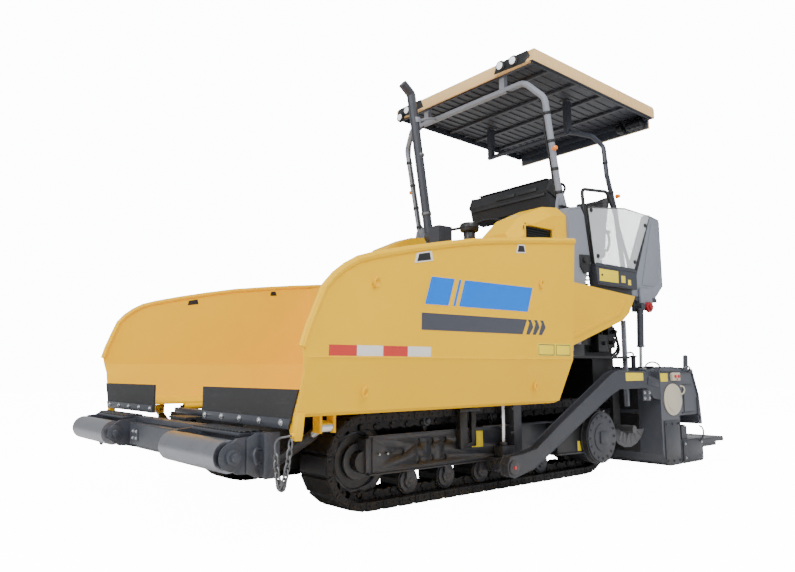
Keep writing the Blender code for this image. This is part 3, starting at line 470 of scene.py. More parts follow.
def rods(axis, *rows):
    # round bars along an axis; a row: place in the two other axes, start, end, radius, bevel, sides, tip
    return [bar(axisPlace[axis](a, b, low), axisPlace[axis](a, b, high), *rest) for a, b, low, high, *rest in rows]


def plates(axis, low, high, bevel, *outlines):
    return [plate(outline, axis, low, high, bevel) for outline in outlines]


def rect(x0, z0, x1, z1):
    return [(x0, z0), (x1, z0), (x1, z1), (x0, z1)]


def row(start, step, count):
    return [start + step * n for n in range(count)]


def hoop(major, minor, around, across, move):
    # a ring made flat at the origin, then moved
    bpy.ops.object.select_all(action="DESELECT")
    bpy.ops.mesh.primitive_torus_add(major_radius=major, minor_radius=minor, major_segments=around,
                                     minor_segments=across)
    bpy.context.object.data.transform(move)
    return apply(bpy.context.object, angle=60)


def bolts(places, axis, radius=0.011, high=0.008):
    # washers with hexagon heads, standing on a face
    place, reach, washer = Vector(places[0]), Vector(axis), 0.003
    made = [bar(place, place + reach * washer, radius * 1.5, 0.0008, 16),
            bar(place + reach * washer, place + reach * (washer + high), radius, 0.0015, 6)]
    return copies(gather(*made), [Vector(spot) - place for spot in places])


# hopper wings
wing = {"creaseY": 1.643, "creaseZ": 0.975, "topY": 1.678, "topZ": 1.852, "lowY": 1.55, "lowZ": 0.685, "sink": 0.0006}


def wallY(z):
    # outer face of the left wing at a height
    end = "top" if z >= wing["creaseZ"] else "low"
    share = (z - wing["creaseZ"]) / (wing[end + "Z"] - wing["creaseZ"])
    return wing["creaseY"] + share * (wing[end + "Y"] - wing["creaseY"])


def onWall(outline, thick=0.001, bevel=0.0):
    # a thin film laid on the wing's outer wall
    thing = plate(outline, "Y", 0, thick + wing["sink"], bevel)
    for corner in thing.data.vertices:
        corner.co.y += wallY(corner.co.z) - wing["sink"]
    return thing


def onWings(name, look, *things):
    finishPair(name, look, "wing", *things, own=True)


tape = {"from": 2.355, "step": 0.1795, "low": 0.983, "high": 1.04, "parts": 4}
for index in range(tape["parts"]):
    start = tape["from"] - index * tape["step"]
    film = onWall(rect(start - tape["step"], tape["low"], start, tape["high"]), 0.0012)
    onWings("reflective_tape_" + str(index + 1), ("red", "white")[index % 2], film)

band = {"low": 1.138, "high": 1.238, "from": 1.714, "to": 0.812, "lean": 0.045}
low, high = band["low"], band["high"]
onWings("side_band", "band", onWall([(band["to"], low), (band["from"], low), (band["from"], high),
                                     (band["to"] - band["lean"], high)]))
arrow = [(-0.034, low), (0, low), (-0.033, 1.215), (-0.015, high), (-0.049, high), (-0.075, 1.19)]
onWings("side_stripes", "band", *[onWall([(start + x, z) for x, z in arrow]) for start in row(0.775, -0.066, 3)])
flash = {"low": 1.29, "high": 1.455, "lean": 0.05, "bars": ((1.69, 1.5), (1.46, 1.44), (1.41, 0.76))}
onWings("side_flash", "blue", *[onWall([(x1, flash["low"]), (x0, flash["low"]), (x0 - flash["lean"], flash["high"]),
                                        (x1 - flash["lean"], flash["high"])]) for x0, x1 in flash["bars"]])
onWings("side_sign", "sign", *[onWall(rect(x0, 0.995, x1, 1.082), 0.0015, 0.0006)
                               for x0, x1 in ((0.285, 0.46), (0.468, 0.652))])
onWings("side_sign_edge", "band", *[
    onWall(rect(*edge), 0.0022) for x0, x1 in ((0.291, 0.454), (0.474, 0.646))
    for edge in ((x0, 1.001, x1, 1.006), (x0, 1.071, x1, 1.076), (x0, 1.001, x0 + 0.005, 1.076),
                 (x1 - 0.005, 1.001, x1, 1.076))])

handSlot = {"rim": 0.92, "hole": 0.68, "inside": 0.0152,
            "outlines": (((1.625, 1.548), (1.785, 1.518), (1.765, 1.585), (1.64, 1.612)),
                         ((0.775, 1.683), (0.885, 1.673), (0.868, 1.738), (0.792, 1.745)))}
rims, holes = [], []
for outline in handSlot["outlines"]:
    corners = [Vector(corner) for corner in outline]
    middle = sum(corners, Vector((0, 0))) / 4
    rim, hole = ([middle + (corner - middle) * handSlot[key] for corner in corners] for key in ("rim", "hole"))
    rims.append(onWall(rim, 0.003, 0.001))
    holes += [onWall(hole, 0.0042, 0.0005), onWall(hole, 0.001)]
    for corner in holes[-1].data.vertices:
        corner.co.y -= handSlot["inside"]
onWings("hand_slot_rim", "white", *rims)
# the hand slots are black films, one on the wall and one sunk inside: painted shade in the slot openings
onWings("hand_slot", "black", *holes)

rings = []
for x, z in ((2.054, 1.4), (2.081, 0.8), (0.62, 1.5), (0.62, 0.8)):
    y = wallY(z)
    turn = Matrix.Rotation(0.35, 4, "Z") @ Matrix.Rotation(math.radians(82), 4, "X")
    rings += [hoop(0.026, 0.0065, 28, 10, Matrix.Translation((x, y + 0.008, z - 0.012)) @ turn),
              *rods("Y", (x, z + 0.012, y - 0.003, y + 0.012, 0.011, 0.002, 14))]
onWings("tie_ring", "yellow", *rings)

crease = plate([(wing["creaseZ"] - 0.01, -0.002), (wing["creaseZ"] + 0.01, -0.002), (wing["creaseZ"], 0.004)],
               "X", 0.29, 2.47, 0)
for corner in crease.data.vertices:
    across, up = corner.co.y, corner.co.z
    corner.co.y, corner.co.z = wallY(across) + up, across
onWings("wing_crease", "yellow", apply(crease))
onWings("wing_rear_braces", "yellow", plate([(0.405, 0.7), (0.6, 0.7), (0.405, 1.05)], "Y", 0.62, 0.628, 0.002),
        *slabs((0.398, 0.55, 1.2, 0.416, 1.3, 1.235, 0.005), (0.398, 0.56, 0.9, 0.412, 1.58, 0.925, 0.004)))

apron = {"front": 2.4973, "clamp": 0.006}
face = apron["front"] + apron["clamp"]
onWings("apron_clamp", "dark", plate([(0.44, 0.607), (1.484, 0.607), (1.512, 0.66), (0.44, 0.66)], "X",
                                     apron["front"], face, 0.0015))
onWings("apron_bolts", "shine", bolts([(face, y, 0.636) for y in row(0.48, 0.235, 5)], (1, 0, 0), 0.013))
lug = [(1.47, 0.6), (1.49, 0.555), (1.53, 0.545), (1.545, 0.6), (1.56, 0.69), (1.49, 0.69)]
onWings("wing_latch", "yellow", plate(lug, "X", 2.44, 2.484, 0.004),
        *rods("X", (1.512, 0.575, 2.43, 2.496, 0.013, 0.003)))
print("wings dressed")

# canopy
canopy = {"front": -0.279, "rear": -2.351, "half": 0.945, "top": 3.778, "tilt": math.tan(math.radians(1.35)),
          "deep": 0.118, "pocket": 0.055}


def roofZ(x, deep=0.0):
    return canopy["top"] - deep - (canopy["front"] - x) * canopy["tilt"]


def tilted(deep, *things):
    # what was made flat at height 0 goes to the tilted roof
    thing = gather(*things)
    for corner in thing.data.vertices:
        corner.co.z += roofZ(corner.co.x, deep)
    return thing


front, rear, half = canopy["front"], canopy["rear"], canopy["half"]
under = canopy["deep"] - canopy["pocket"]
finish("canopy_ceiling", "ceiling", "chassis", tilted(under, *slabs(
    (rear + 0.041, -half + 0.041, -0.01, front - 0.041, half - 0.041, -0.002, 0.002),
    *[(rear + 0.07, y - 0.006, -0.02, front - 0.06, y + 0.006, -0.009, 0.004)
      for y in row(-half + 0.1, 0.0985, 19)],
    *[(x - 0.02, -half + 0.045, -0.038, x + 0.02, half - 0.045, -0.009, 0.005)
      for x in row(-0.62, -0.43, 4)])))
liners = both(*slabs(
    (rear + 0.03, half - 0.042, -0.07, front - 0.036, half - 0.026, -0.004, 0.002),
    *[(x - 0.012, half - 0.11, -0.028, x + 0.012, half - 0.04, -0.006, 0.004)
      for x in row(rear + 0.13, 0.235, 9)]))
finish("canopy_lining", "dark", "chassis", tilted(under, liners, *slabs(
    *[(x - 0.006, -half + 0.03, -0.07, x + 0.006, half - 0.03, -0.004, 0.002)
      for x in (rear + 0.046, front - 0.046)],
    (rear + 0.031, -half + 0.062, -0.155, rear + 0.035, half - 0.062, -0.06, 0.001))))
finish("canopy_rim_edge", "dark", "chassis", tilted(canopy["deep"] - 0.002, both(*slabs(
    (rear + 0.002, half - 0.036, -0.004, front - 0.004, half - 0.002, 0.0012, 0.001)))))
ribs = [slab((x - 0.0095, half - 0.0025, -0.042), (x + 0.0095, half + 0.0035, 0.042), 0.0015, 1)
        for x in row(rear + 0.06, 0.0345, 58)]
finish("canopy_side_ribs", "canopy", "chassis", tilted(canopy["deep"] / 2, both(*ribs)))
finish("canopy_roof_seams", "canopy", "chassis", tilted(0.0, *slabs(
    *[(x - 0.014, -half + 0.05, -0.003, x + 0.014, half - 0.05, 0.0015, 0.001) for x in row(rear + 0.16, 0.22, 9)])))
fascia = [(-0.9, 3.665), (-0.55, 3.658), (-0.5, 3.64), (0.5, 3.64), (0.55, 3.658), (0.9, 3.665),
          (0.9, 3.752), (-0.9, 3.752)]
finish("canopy_fascia", "canopy", "chassis", plate(fascia, "X", front + 0.0005, front + 0.009, 0.003))

corner = [(0.5, 3.668), (0.54, 3.76), (0.9, 3.76), (0.925, 3.7), (0.86, 3.655)]
pods, lenses = [both(plate(corner, "X", front + 0.004, front + 0.016, 0.004))], []
for y, z in ((0.745, 3.712), (0.59, 3.716), (-0.745, 3.7), (-0.86, 3.655)):
    pods += rods("X", (y, z, front + 0.006, front + 0.032, 0.052, 0.006, 28),
                 (y, z, front + 0.03, front + 0.038, 0.047, 0.003, 28))
    lenses += rods("X", (y, z, front + 0.034, front + 0.043, 0.038, 0.006, 28, 0.032))
x, z = rear + 0.075, 3.575
for y in (0.69, 0.81, 0.57, 0.75):
    pods += [*rods("Y", (x, z, y - 0.036, y + 0.036, 0.046, 0.012, 24)),
             slab((x - 0.01, y - 0.012, z + 0.03), (x + 0.01, y + 0.012, z + 0.075), 0.003),
             bar((x - 0.001, y, z), (x - 0.058, y, z - 0.02), 0.046, 0.006, 24)]
    lenses.append(bar((x - 0.054, y, z - 0.018), (x - 0.063, y, z - 0.021), 0.037, 0.004, 24))
finish("canopy_lamp_pods", "black", "chassis", *pods)
finish("canopy_lamps", "lens", "chassis", *lenses)

finish("exhaust_strut", "light", "chassis",
       run([(-0.38, -0.42, 3.535), (-0.16, -0.3, 3.45), (0.055, -0.262, 3.36)], 0.014),
       bar((0.06, -0.25, 3.335), (0.068, -0.25, 3.385), 0.052, 0.004, 28))
cable = [(-0.575, 0.918, 2.46), (-0.515, 0.916, 2.8), (-0.462, 0.912, 3.06), (-0.44, 0.915, 3.28),
         (-0.385, 0.8, 3.455), (-0.345, 0.6, 3.485), (-0.4, 0.52, 3.6)]
finish("canopy_cables", "hose", "chassis", both(run(cable, 0.008)))
finish("marker_lamps", "orange", "chassis",
       both(bar((-0.52, 0.955, 2.875), (-0.505, 1.005, 2.88), 0.026, 0.01, 20, 0.02)),
       *rods("Y", (-1.515, 2.6, 0.95, 0.995, 0.022, 0.008, 20, 0.016)))


def collar(x, y, z, reach, high, *rest):
    return bar((x - reach, y, z - high), (x + reach, y, z + high), *rest)


frontPost = ((-0.592, 2.49), (-0.553, 2.7), (-0.505, 2.95), (-0.455, 3.2))
rearPost = ((-1.6, 1.88), (-1.545, 2.22), (-1.445, 2.63), (-1.37, 2.92))
finish("post_clamps", "black", "chassis",
       both(*[collar(x, 0.95, z, 0.003, 0.014, 0.034, 0.004, 24) for x, z in frontPost],
            *slabs((-0.715, 0.905, 2.35, -0.56, 0.995, 2.362, 0.003))),
       *[collar(x, 0.94, z, 0.004, 0.012, 0.028, 0.004, 20) for x, z in rearPost])
finish("canopy_brackets", "dark", "chassis", both(
    *[slab((x0, 0.475, roofZ(x, under) - 0.022), (x1, 0.585, roofZ(x, under) - 0.008), 0.003)
      for x0, x1, x in ((-0.4, -0.32, -0.36), (-1.4, -1.3, -1.36))],
    *rods("Y", (-1.35, 3.345, 0.5, 0.56, 0.03, 0.004, 20))))
print("canopy dressed")

# hood
# the thin black sheet behind the louvre slats is painted shade in the louvre opening
finish("hood_louvres", "black", "chassis", both(
    *[plate([(1.0565, z), (1.078, z - 0.006), (1.078, z - 0.002), (1.0565, z + 0.006)], "X", -0.296, 0.046, 0)
      for z in row(1.968, 0.0205, 6)], *slabs((-0.3, 1.056, 1.957, 0.05, 1.059, 2.083, 0.0005))))
finish("hood_frames", "yellow", "chassis", both(
    *[slab((x0, 1.079, z0), (x1, 1.0845, z1), 0.002)
      for x0, z0, x1, z1 in ((-0.315, 1.94, 0.065, 1.955), (-0.315, 2.085, 0.065, 2.1), (-0.315, 1.94, -0.3, 2.1),
                             (0.05, 1.94, 0.065, 2.1), (-0.498, 1.885, 0.198, 1.897), (-0.36, 1.9, -0.354, 2.205))]))
catches = (-0.42, 0.12)
finish("hood_catches", "black", "chassis", both(
    *slabs(*[(x - 0.022, 1.08, 1.8, x + 0.022, 1.092, 1.862, 0.004) for x in catches]),
    *rods("Y", *[(x, 1.83, 1.086, 1.1, 0.012, 0.003, 16) for x in catches])))
finish("bonnet_handles", "black", "chassis", *slabs((-0.44, -0.68, 2.085, -0.28, 0.68, 2.094, 0.004)),
       *[run([(0.16, y - 0.06, 1.945), (0.1, y - 0.06, 2.03), (0.02, y + 0.06, 2.055),
              (-0.06, y + 0.06, 2.02)], 0.009) for y in (-0.45, 0.1, 0.45)])
finish("bonnet_rail", "black", "chassis", run(
    [(-0.3, -0.43, 2.07), (-0.31, -0.43, 2.285), (-0.36, -0.4, 2.325), (-0.42, -0.33, 2.33), (-0.44, -0.12, 2.325),
     (-0.44, 0.34, 2.325), (-0.44, 0.42, 2.28), (-0.44, 0.43, 2.08)], 0.014))
x, y = -0.1, 0.3
finish("air_intake", "black", "chassis", *rods("Z", (x, y, 2.03, 2.17, 0.055, 0.01, 28),
       (x, y, 2.165, 2.25, 0.088, 0.022, 32), (x, y, 2.2, 2.212, 0.093, 0.004, 32)))
finish("exhaust_bands", "wornSteel", "chassis", *[
    collar(x, -0.25, z, 0.002, high, *rest) for x, z, high, *rest in (
        (0.016, 3.015, 0.015, 0.049, 0.004, 28), (-0.066, 2.435, 0.015, 0.051, 0.004, 28),
        (-0.148, 2.11, 0.035, 0.085, 0.012, 32))])
print("hood dressed")

# bulkhead, fenders, side boxes and screens
finish("bulkhead_trim", "light", "chassis", both(*plates(
    "Y", 1.1005, 1.1035, 0.001, rect(-0.515, 1.06, -0.505, 2.262),
    [(-0.545, 2.298), (-0.682, 2.326), (-0.678, 2.334), (-0.54, 2.306)])))
holder = [(-0.645, 1.905), (-0.795, 1.915), (-0.775, 1.76), (-0.7, 1.74), (-0.645, 1.8)]
fixings = ((-0.814, 2.326), (-0.892, 1.915), (-1.72, 2.305), (-1.5, 1.92))
finish("screen_fixings", "black", "chassis", both(
    plate(holder, "Y", 1.1008, 1.116, 0.003), *rods(
        "Y", (-0.7, 1.86, 1.1, 1.135, 0.024, 0.004, 20),
        *[(*spot, 1.112, 1.137, 0.019, 0.005, 18) for spot in fixings],
        *[(*spot, 1.095, 1.118, 0.011, 0.003, 14) for spot in fixings])))
screen = [(-0.767, 2.342), (-1.373, 2.425), (-1.815, 2.412), (-1.49, 1.842), (-0.839, 1.842)]
finish("screen_edging", "black", "chassis", both(
    run([(x, 1.122, z) for x, z in screen + screen[:1]], 0.0062, 2, False)))
finish("slanted_grid", "grid", "chassis", both(*plates(
    "Y", 1.071, 1.078, 0.002, [(-1.84, 2.425), (-1.905, 2.428), (-1.555, 1.7), (-1.505, 1.7)])))
finish("rear_panel_folds", "light", "chassis", both(
    *plates("Y", 1.052, 1.074, 0.001, [(-1.83, 2.43), (-1.915, 2.436), (-1.915, 2.446), (-1.83, 2.44)],
            [(-2.08, 2.4), (-2.0865, 1.73), (-2.094, 1.73), (-2.09, 2.4)],
            [(-1.915, 2.43), (-2.084, 2.411), (-2.086, 2.42), (-1.915, 2.441)]),
    *plates("Y", 1.0705, 1.0745, 0.0015,
            [(-1.93, 2.36), (-2.03, 2.35), (-2.035, 1.8), (-1.93, 1.72), (-1.7, 1.72)])))
finish("side_box_signs", "sign", "chassis", both(*plates(
    "Y", 1.1402, 1.1415, 0.0005, rect(-1.185, 1.69, -0.885, 1.8), rect(-1.3, 1.7, -1.235, 1.765),
    rect(-1.395, 1.685, -1.345, 1.735))))
finish("side_box_trim", "dark", "chassis", both(
    *plates("Y", 1.1402, 1.146, 0.001, [(-0.87, 1.668), (-1.325, 1.664), (-1.325, 1.676), (-0.87, 1.68)],
            rect(-1.485, 1.818, -0.852, 1.83)),
    *rods("Y", (-0.92, 1.745, 1.138, 1.15, 0.01, 0.002, 14)),
    *slabs((-1.48, 1.113, 1.838, -0.86, 1.137, 1.852, 0.003))))
finish("fender_seams", "yellow", "chassis", both(*plates(
    "Y", 1.1495, 1.1555, 0.0025, [(0.18, 1.085), (-0.31, 1.118), (-1.165, 1.388), (-1.285, 1.545), (-1.245, 1.552),
                                  (-1.14, 1.425), (-0.31, 1.16), (0.18, 1.128)])))
finish("fender_bolts", "shine", "chassis", both(
    bolts([(-0.06, 1.1502, 1.315), (-0.17, 1.1502, 1.3), (-0.04, 1.1502, 1.52)], (0, 1, 0), 0.009)))
print("bulkhead and fenders dressed")

# tracks
track = {"idler": (1.626, 0.313), "sprocket": (-0.795, 0.325), "shoes": 49, "side": 0.9755}


def trackLine():
    # points once round the track, from the top front
    rear, front = Vector(track["sprocket"]), Vector(track["idler"])
    span = front - rear
    top = math.atan2(span.y, span.x) + math.acos((rear.y - front.y) / span.length)
    low = -math.pi / 2
    line = []
    for centre, start, sweep in ((front, top, low - top), (rear, low, top - low - 2 * math.pi)):
        for step in range(41):
            angle = start + sweep * step / 40
            line.append(centre + centre.y * Vector((math.cos(angle), math.sin(angle))))
    return line


def aroundTrack(*things):
    # made at the origin, lengthwise on X, outside up; one copy goes to each shoe
    line = trackLine()
    ends = list(zip(line, line[1:] + line[:1]))
    total = sum((b - a).length for a, b in ends)
    moves = []
    for n in range(track["shoes"]):
        left = (n + 0.5) * total / track["shoes"] % total
        for a, b in ends:
            step = (b - a).length
            if left <= step and step > 0:
                way = (b - a) / step
                spot = a + way * left
                moves.append(Matrix(((way.x, 0, -way.y, spot.x), (0, 1, 0, 0), (way.y, 0, way.x, spot.y),
                                     (0, 0, 0, 1))))
                break
            left -= step
    return copies(gather(*things), moves)


link = {"long": 0.083, "deep": -0.098, "outline": (
    (-0.083, -0.116), (-0.045, -0.124), (0.0, -0.112), (0.045, -0.124), (0.083, -0.116), (0.083, -0.08),
    (0.05, -0.055), (-0.05, -0.055), (-0.083, -0.08))}
finishPair("track_links", "track", "chassis", aroundTrack(
    *[plate(link["outline"], "Y", y, y + 0.022, 0.003, 1) for y in (0.76, 0.898)],
    *rods("Y", (-0.07, link["deep"], 0.75, 0.93, 0.017, 0.003, 12),
          *[(x, link["deep"] + 0.03, 0.92, 0.9265, 0.0095, 0.001, 6) for x in (-0.028, 0.028)])))
shoe = [(-0.06, -0.052), (-0.052, -0.06), (0.052, -0.06), (0.06, -0.052), (0.055, -0.012), (-0.055, -0.012)]
finishPair("track_shoe_ends", "track", "chassis", aroundTrack(
    plate(shoe, "Y", 0.989, 0.9955, 0.002, 1), plate(shoe, "Y", 0.6845, 0.691, 0.002, 1),
    *rods("Y", *[(x, -0.036, 0.994, 1.0, 0.0095, 0.001, 6) for x in (-0.03, 0.03)])))

idler, drive, side = track["idler"], track["sprocket"], track["side"]
panel = slab((-0.26, side, 0.232), (1.598, side + 0.012, 0.474), 0.003)
cutBy(panel, gather(
    *rods("Y", *[(x, z, side - 0.02, side + 0.04, 0.022, 0, 24) for x in (1.162, 1.035, 0.908)
                 for z in (0.414, 0.29)]),
    *plates("Y", side - 0.02, side + 0.04, 0, [(1.3, 0.335), (1.378, 0.335), (1.394, 0.357), (1.378, 0.379),
                                               (1.3, 0.379), (1.284, 0.357)])))
finishPair("track_frame_plate", "dark", "chassis", panel, *slabs(
    (-0.27, 0.965, 0.224, 1.6, 1.003, 0.2345, 0.002), (-0.27, 0.965, 0.4715, 1.6, 0.994, 0.479, 0.002),
    (1.599, 0.8, 0.245, 1.622, 0.994, 0.462, 0.004), (1.56, 0.982, 0.24, 1.572, 0.999, 0.468, 0.003)),
    plate([(-0.28, 0.468), (0.56, 0.482), (0.56, 0.489), (-0.28, 0.476)], "Y", 0.98, 1.045, 0.002),
    plate([(-0.85, 0.12), (-0.72, 0.2), (-0.25, 0.212), (-0.25, 0.222), (-0.725, 0.211), (-0.86, 0.13)],
          "Y", 0.9, 1.11, 0.002))
# black sheets right behind the cut holes: painted shade inside the track frame
finishPair("track_frame_holes", "black", "chassis", *slabs(
    (0.87, side - 0.001, 0.26, 1.2, side + 0.0012, 0.445, 0.0003),
    (1.28, side - 0.001, 0.33, 1.4, side + 0.0012, 0.385, 0.0003)))
finishPair("grease_nipples", "shine", "chassis", *[
    bar((x + low, side + near, up), (x + high, side + far, down), *rest)
    for low, near, up, high, far, down, *rest in ((0, 0.01, 0.357, 0.012, 0.03, 0.355, 0.0075, 0.002, 12),
                                                  (0.01, 0.026, 0.355, 0.016, 0.038, 0.354, 0.0045, 0.001, 10))
    for x in (1.435, 1.505)])
finishPair("frame_bracket", "black", "chassis", *slabs(
    (0.605, 0.985, 0.345, 0.655, 1.012, 0.6, 0.004), (0.725, 0.985, 0.335, 0.8, 1.04, 0.6, 0.005),
    (0.6, 0.96, 0.6, 0.81, 1.05, 0.625, 0.003)),
    plate([(0.655, 0.335), (0.73, 0.335), (0.73, 0.365), (0.655, 0.375)], "Y", 0.985, 1.01, 0.003))
finishPair("frame_signs", "sign", "chassis", *plates("Y", side + 0.0122, side + 0.013, 0.0003, [
    (0.512, 0.33), (0.668, 0.338), (0.668, 0.36), (0.6, 0.372), (0.585, 0.452), (0.512, 0.448)]), *plates(
    "Y", 1.0805, 1.0815, 0.0003, [(-0.608, 0.222), (-0.545, 0.222), (-0.545, 0.305), (-0.608, 0.302)]))
lowRollers, topRollers = row(1.22, -0.36, 5), (1.02, 0.32)
finishPair("track_rollers", "dark", "chassis", *rods(
    "Y", *[(x, 0.15, *rest) for x in lowRollers for rest in (
        (0.938, 0.952, 0.078, 0.004, 28), (0.95, 0.968, 0.046, 0.006, 24), (0.966, 0.974, 0.022, 0.003, 6))],
    *[(x, 0.545, *rest) for x in topRollers for rest in (
        (0.8, 0.93, 0.04, 0.008, 24), (0.928, 0.945, 0.022, 0.004, 16))]), *slabs(
    *[(x - 0.035, 0.955, 0.15, x + 0.035, 0.972, 0.235, 0.004) for x in lowRollers],
    *[(x - 0.02, 0.86, 0.47, x + 0.02, 0.9, 0.53, 0.004) for x in topRollers]))
rim, hub, tool = rods("Y", (*idler, 0.884, 0.898, 0.215, 0.006, 48), (*idler, 0.896, 0.915, 0.12, 0.01, 32),
                      (*idler, 0.87, 0.91, 0.175, 0, 48))
cutBy(rim, tool)
finishPair("idler_rim", "dark", "chassis", rim, hub)
tooth = plate([(0.236, -0.02), (0.262, -0.009), (0.262, 0.009), (0.236, 0.02)], "Y", 0.818, 0.862, 0.003, 1)
centre = Matrix.Translation((drive[0], 0, drive[1]))
finishPair("sprocket_teeth", "wornSteel", "chassis", copies(
    tooth, [centre @ Matrix.Rotation(angle, 4, "Y") for angle in row(0, 2 * math.pi / 21, 21)]))
finishPair("final_drive", "dark", "chassis", *rods(
    "Y", (*drive, 1.148, 1.16, 0.205, 0.005, 56), (*drive, 1.095, 1.106, 0.226, 0.003, 56),
    (*drive, 1.158, 1.168, 0.12, 0.006, 40)), slab(
    (drive[0] - 0.052, 1.166, drive[1] - 0.052), (drive[0] + 0.052, 1.182, drive[1] + 0.052), 0.006))
ring = [(drive[0] + 0.178 * math.cos(a), 1.16, drive[1] + 0.178 * math.sin(a)) for a in row(0, math.pi / 8, 16)]
finishPair("final_drive_bolts", "dark", "chassis", bolts(ring, (0, 1, 0), 0.009, 0.007))
print("tracks dressed")

# tow points and arms
tow = {"front": 0.2603, "face": 1.2503, "pin": (0.47, 0.198), "rod": (0.335, 1.035)}
carriages = finishPair("tow_carriage", "dark", "tow_points", *slabs(
    (tow["front"], 0.995, 0.142, 0.4, 1.085, 0.33, 0.006), (0.38, 0.995, 0.15, 0.49, 1.085, 0.25, 0.006)),
    *rods("Y", (*tow["pin"], 1.04, 1.1697, 0.035, 0.003, 28), (*tow["pin"], 1.088, 1.11, 0.048, 0.003, 28)),
    *rods("Z", (*tow["rod"], 0.325, 0.356, 0.03, 0.005, 24)))
for carriage, end in zip(carriages, ("_left", "_right")):
    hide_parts("tow_point" + end)
finishPair("tow_rod", "chrome", "tow_points", *rods("Z", (*tow["rod"], 0.32, 0.78, 0.018, 0.002, 32)))
finishPair("tow_guide_trim", "dark", "chassis", *slabs(
    (0.262, 1.08, 0.42, 0.3, 1.086, 0.435, 0.001), (0.262, 1.08, 0.6, 0.3, 1.1, 0.615, 0.001),
    (0.168, 0.986, 0.195, 0.262, 1.084, 0.203, 0.002)), *rods("Z", (*tow["rod"], 0.705, 0.735, 0.042, 0.005, 28)))
arm = [(0.5, 0.275), (0.535, 0.22), (0.52, 0.145), (0.46, 0.125), (0.232, 0.174), (-0.214, 0.395), (-0.8, 0.68),
       (-0.955, 0.735), (-1.38, 0.735), (-1.5, 0.64), (-1.619, 0.62), (-1.619, 0.8), (-1.44, 0.84), (-1.372, 0.876),
       (-0.934, 0.888), (-0.84, 0.863), (-0.089, 0.472), (0.2, 0.31), (0.38, 0.28)]
finishPair("tow_arm_edges", "dark", "screed",
           *[run([(x, y, z) for x, z in arm + arm[:1]], 0.0055, 2, False) for y in (1.173, 1.247)],
           *rods("Y", (*tow["pin"], 1.249, 1.262, 0.052, 0.004, 32)),
           plate([(-1.305, 0.62), (-1.435, 0.615), (-1.435, 0.715), (-1.305, 0.72)], "Y", 1.2495, 1.259, 0.003),
           plate([(-1.4, 0.765), (-1.6, 0.735), (-1.6, 0.77), (-1.42, 0.83)], "Y", 1.2495, 1.256, 0.003))
finishPair("tow_arm_bolts", "shine", "screed", bolts(
    [(x, 1.259, z) for x in (-1.33, -1.41) for z in (0.642, 0.692)], (0, 1, 0), 0.01, 0.008))
finishPair("tow_pin_cap", "red", "screed", *rods("Y", (*tow["pin"], 1.261, 1.268, 0.014, 0.003, 20)))
finishPair("tow_arm_sign", "sign", "screed", plate(
    [(-1.05, 0.8), (-1.335, 0.8), (-1.335, 0.868), (-1.05, 0.872)], "Y", tow["face"], 1.2515, 0.0004))
print("tow arms dressed")

# screed
screed = {"face": 1.2502, "cover": (-1.835, 0.615), "back": ((-1.2, -0.64), (-0.6, -0.04), (0.04, 0.6), (0.64, 1.2)),
          "lids": ((-1.18, -0.62), (-0.58, -0.02), (0.02, 0.58), (0.62, 1.18)),
          "front": ((-1.02, -0.55), (-0.5, -0.03), (0.03, 0.5), (0.55, 1.02))}
face = screed["face"]


def ellipse(across, up):
    x, z = screed["cover"]
    return [(x + across * math.cos(angle), z + up * math.sin(angle)) for angle in row(0, math.pi / 18, 36)]


finishPair("screed_cover", "cream", "screed", plate(ellipse(0.165, 0.15), "Y", face, 1.262, 0.005),
           plate(ellipse(0.125, 0.11), "Y", 1.261, 1.268, 0.005),
           run([(-1.955, 1.262, 0.66), (-1.965, 1.292, 0.67), (-1.975, 1.292, 0.73), (-1.97, 1.262, 0.74)], 0.007),
           *slabs((-1.945, face, 0.792, -1.81, 1.285, 0.868, 0.006)))
finishPair("screed_sockets", "red", "screed", *rods(
    "Y", *[(x, 0.832, 1.284, 1.296, 0.016, 0.003, 20) for x in (-1.845, -1.905)],
    (-1.877, 0.806, 1.284, 1.292, 0.008, 0.002, 16)))
finishPair("screed_sign", "sign", "screed", *slabs((-1.765, face, 0.785, -1.635, 1.2515, 0.862, 0.0004)))
finishPair(
    "screed_side_plates", "dark", "screed",
    plate([(-1.655, 0.03), (-1.925, 0.016), (-1.925, 0.42), (-1.655, 0.425)], "Y", face, 1.262, 0.004),
    plate([(-1.64, 0.885), (-2.235, 0.875), (-2.33, 0.652), (-2.355, 0.4), (-2.335, 0.4), (-2.312, 0.65),
           (-2.222, 0.862), (-1.64, 0.872)], "Y", face, 1.26, 0.003),
    plate([(-2.04, 0.49), (-2.056, 0.49), (-2.056, 0.74), (-2.21, 0.74), (-2.21, 0.756), (-2.04, 0.756)],
          "Y", face, 1.257, 0.002),
    plate([(-2.15, 0.9), (-2.235, 0.885), (-2.245, 1.03), (-2.215, 1.042), (-2.165, 1.035)],
          "Y", 1.205, 1.217, 0.003),
    run([(-2.045, 1.24, 0.885), (-2.05, 1.275, 0.905), (-2.1, 1.285, 0.925), (-2.15, 1.275, 0.895),
         (-2.15, 1.25, 0.865)], 0.008),
    *slabs((-2.29, face, 0.475, -2.0, 1.258, 0.49, 0.002), (-2.34, 1.235, 0.45, -2.3, 1.262, 0.62, 0.004),
           (-1.9, 1.2, 0.905, -1.66, 1.245, 0.925, 0.004)))
heads = ((-1.68, 0.06), (-1.9, 0.05), (-1.68, 0.39), (-1.9, 0.39), (-1.79, 0.05), (-1.79, 0.39))
finishPair("screed_side_bolts", "dark", "screed", bolts([(x, 1.262, z) for x, z in heads], (0, 1, 0), 0.01, 0.008))

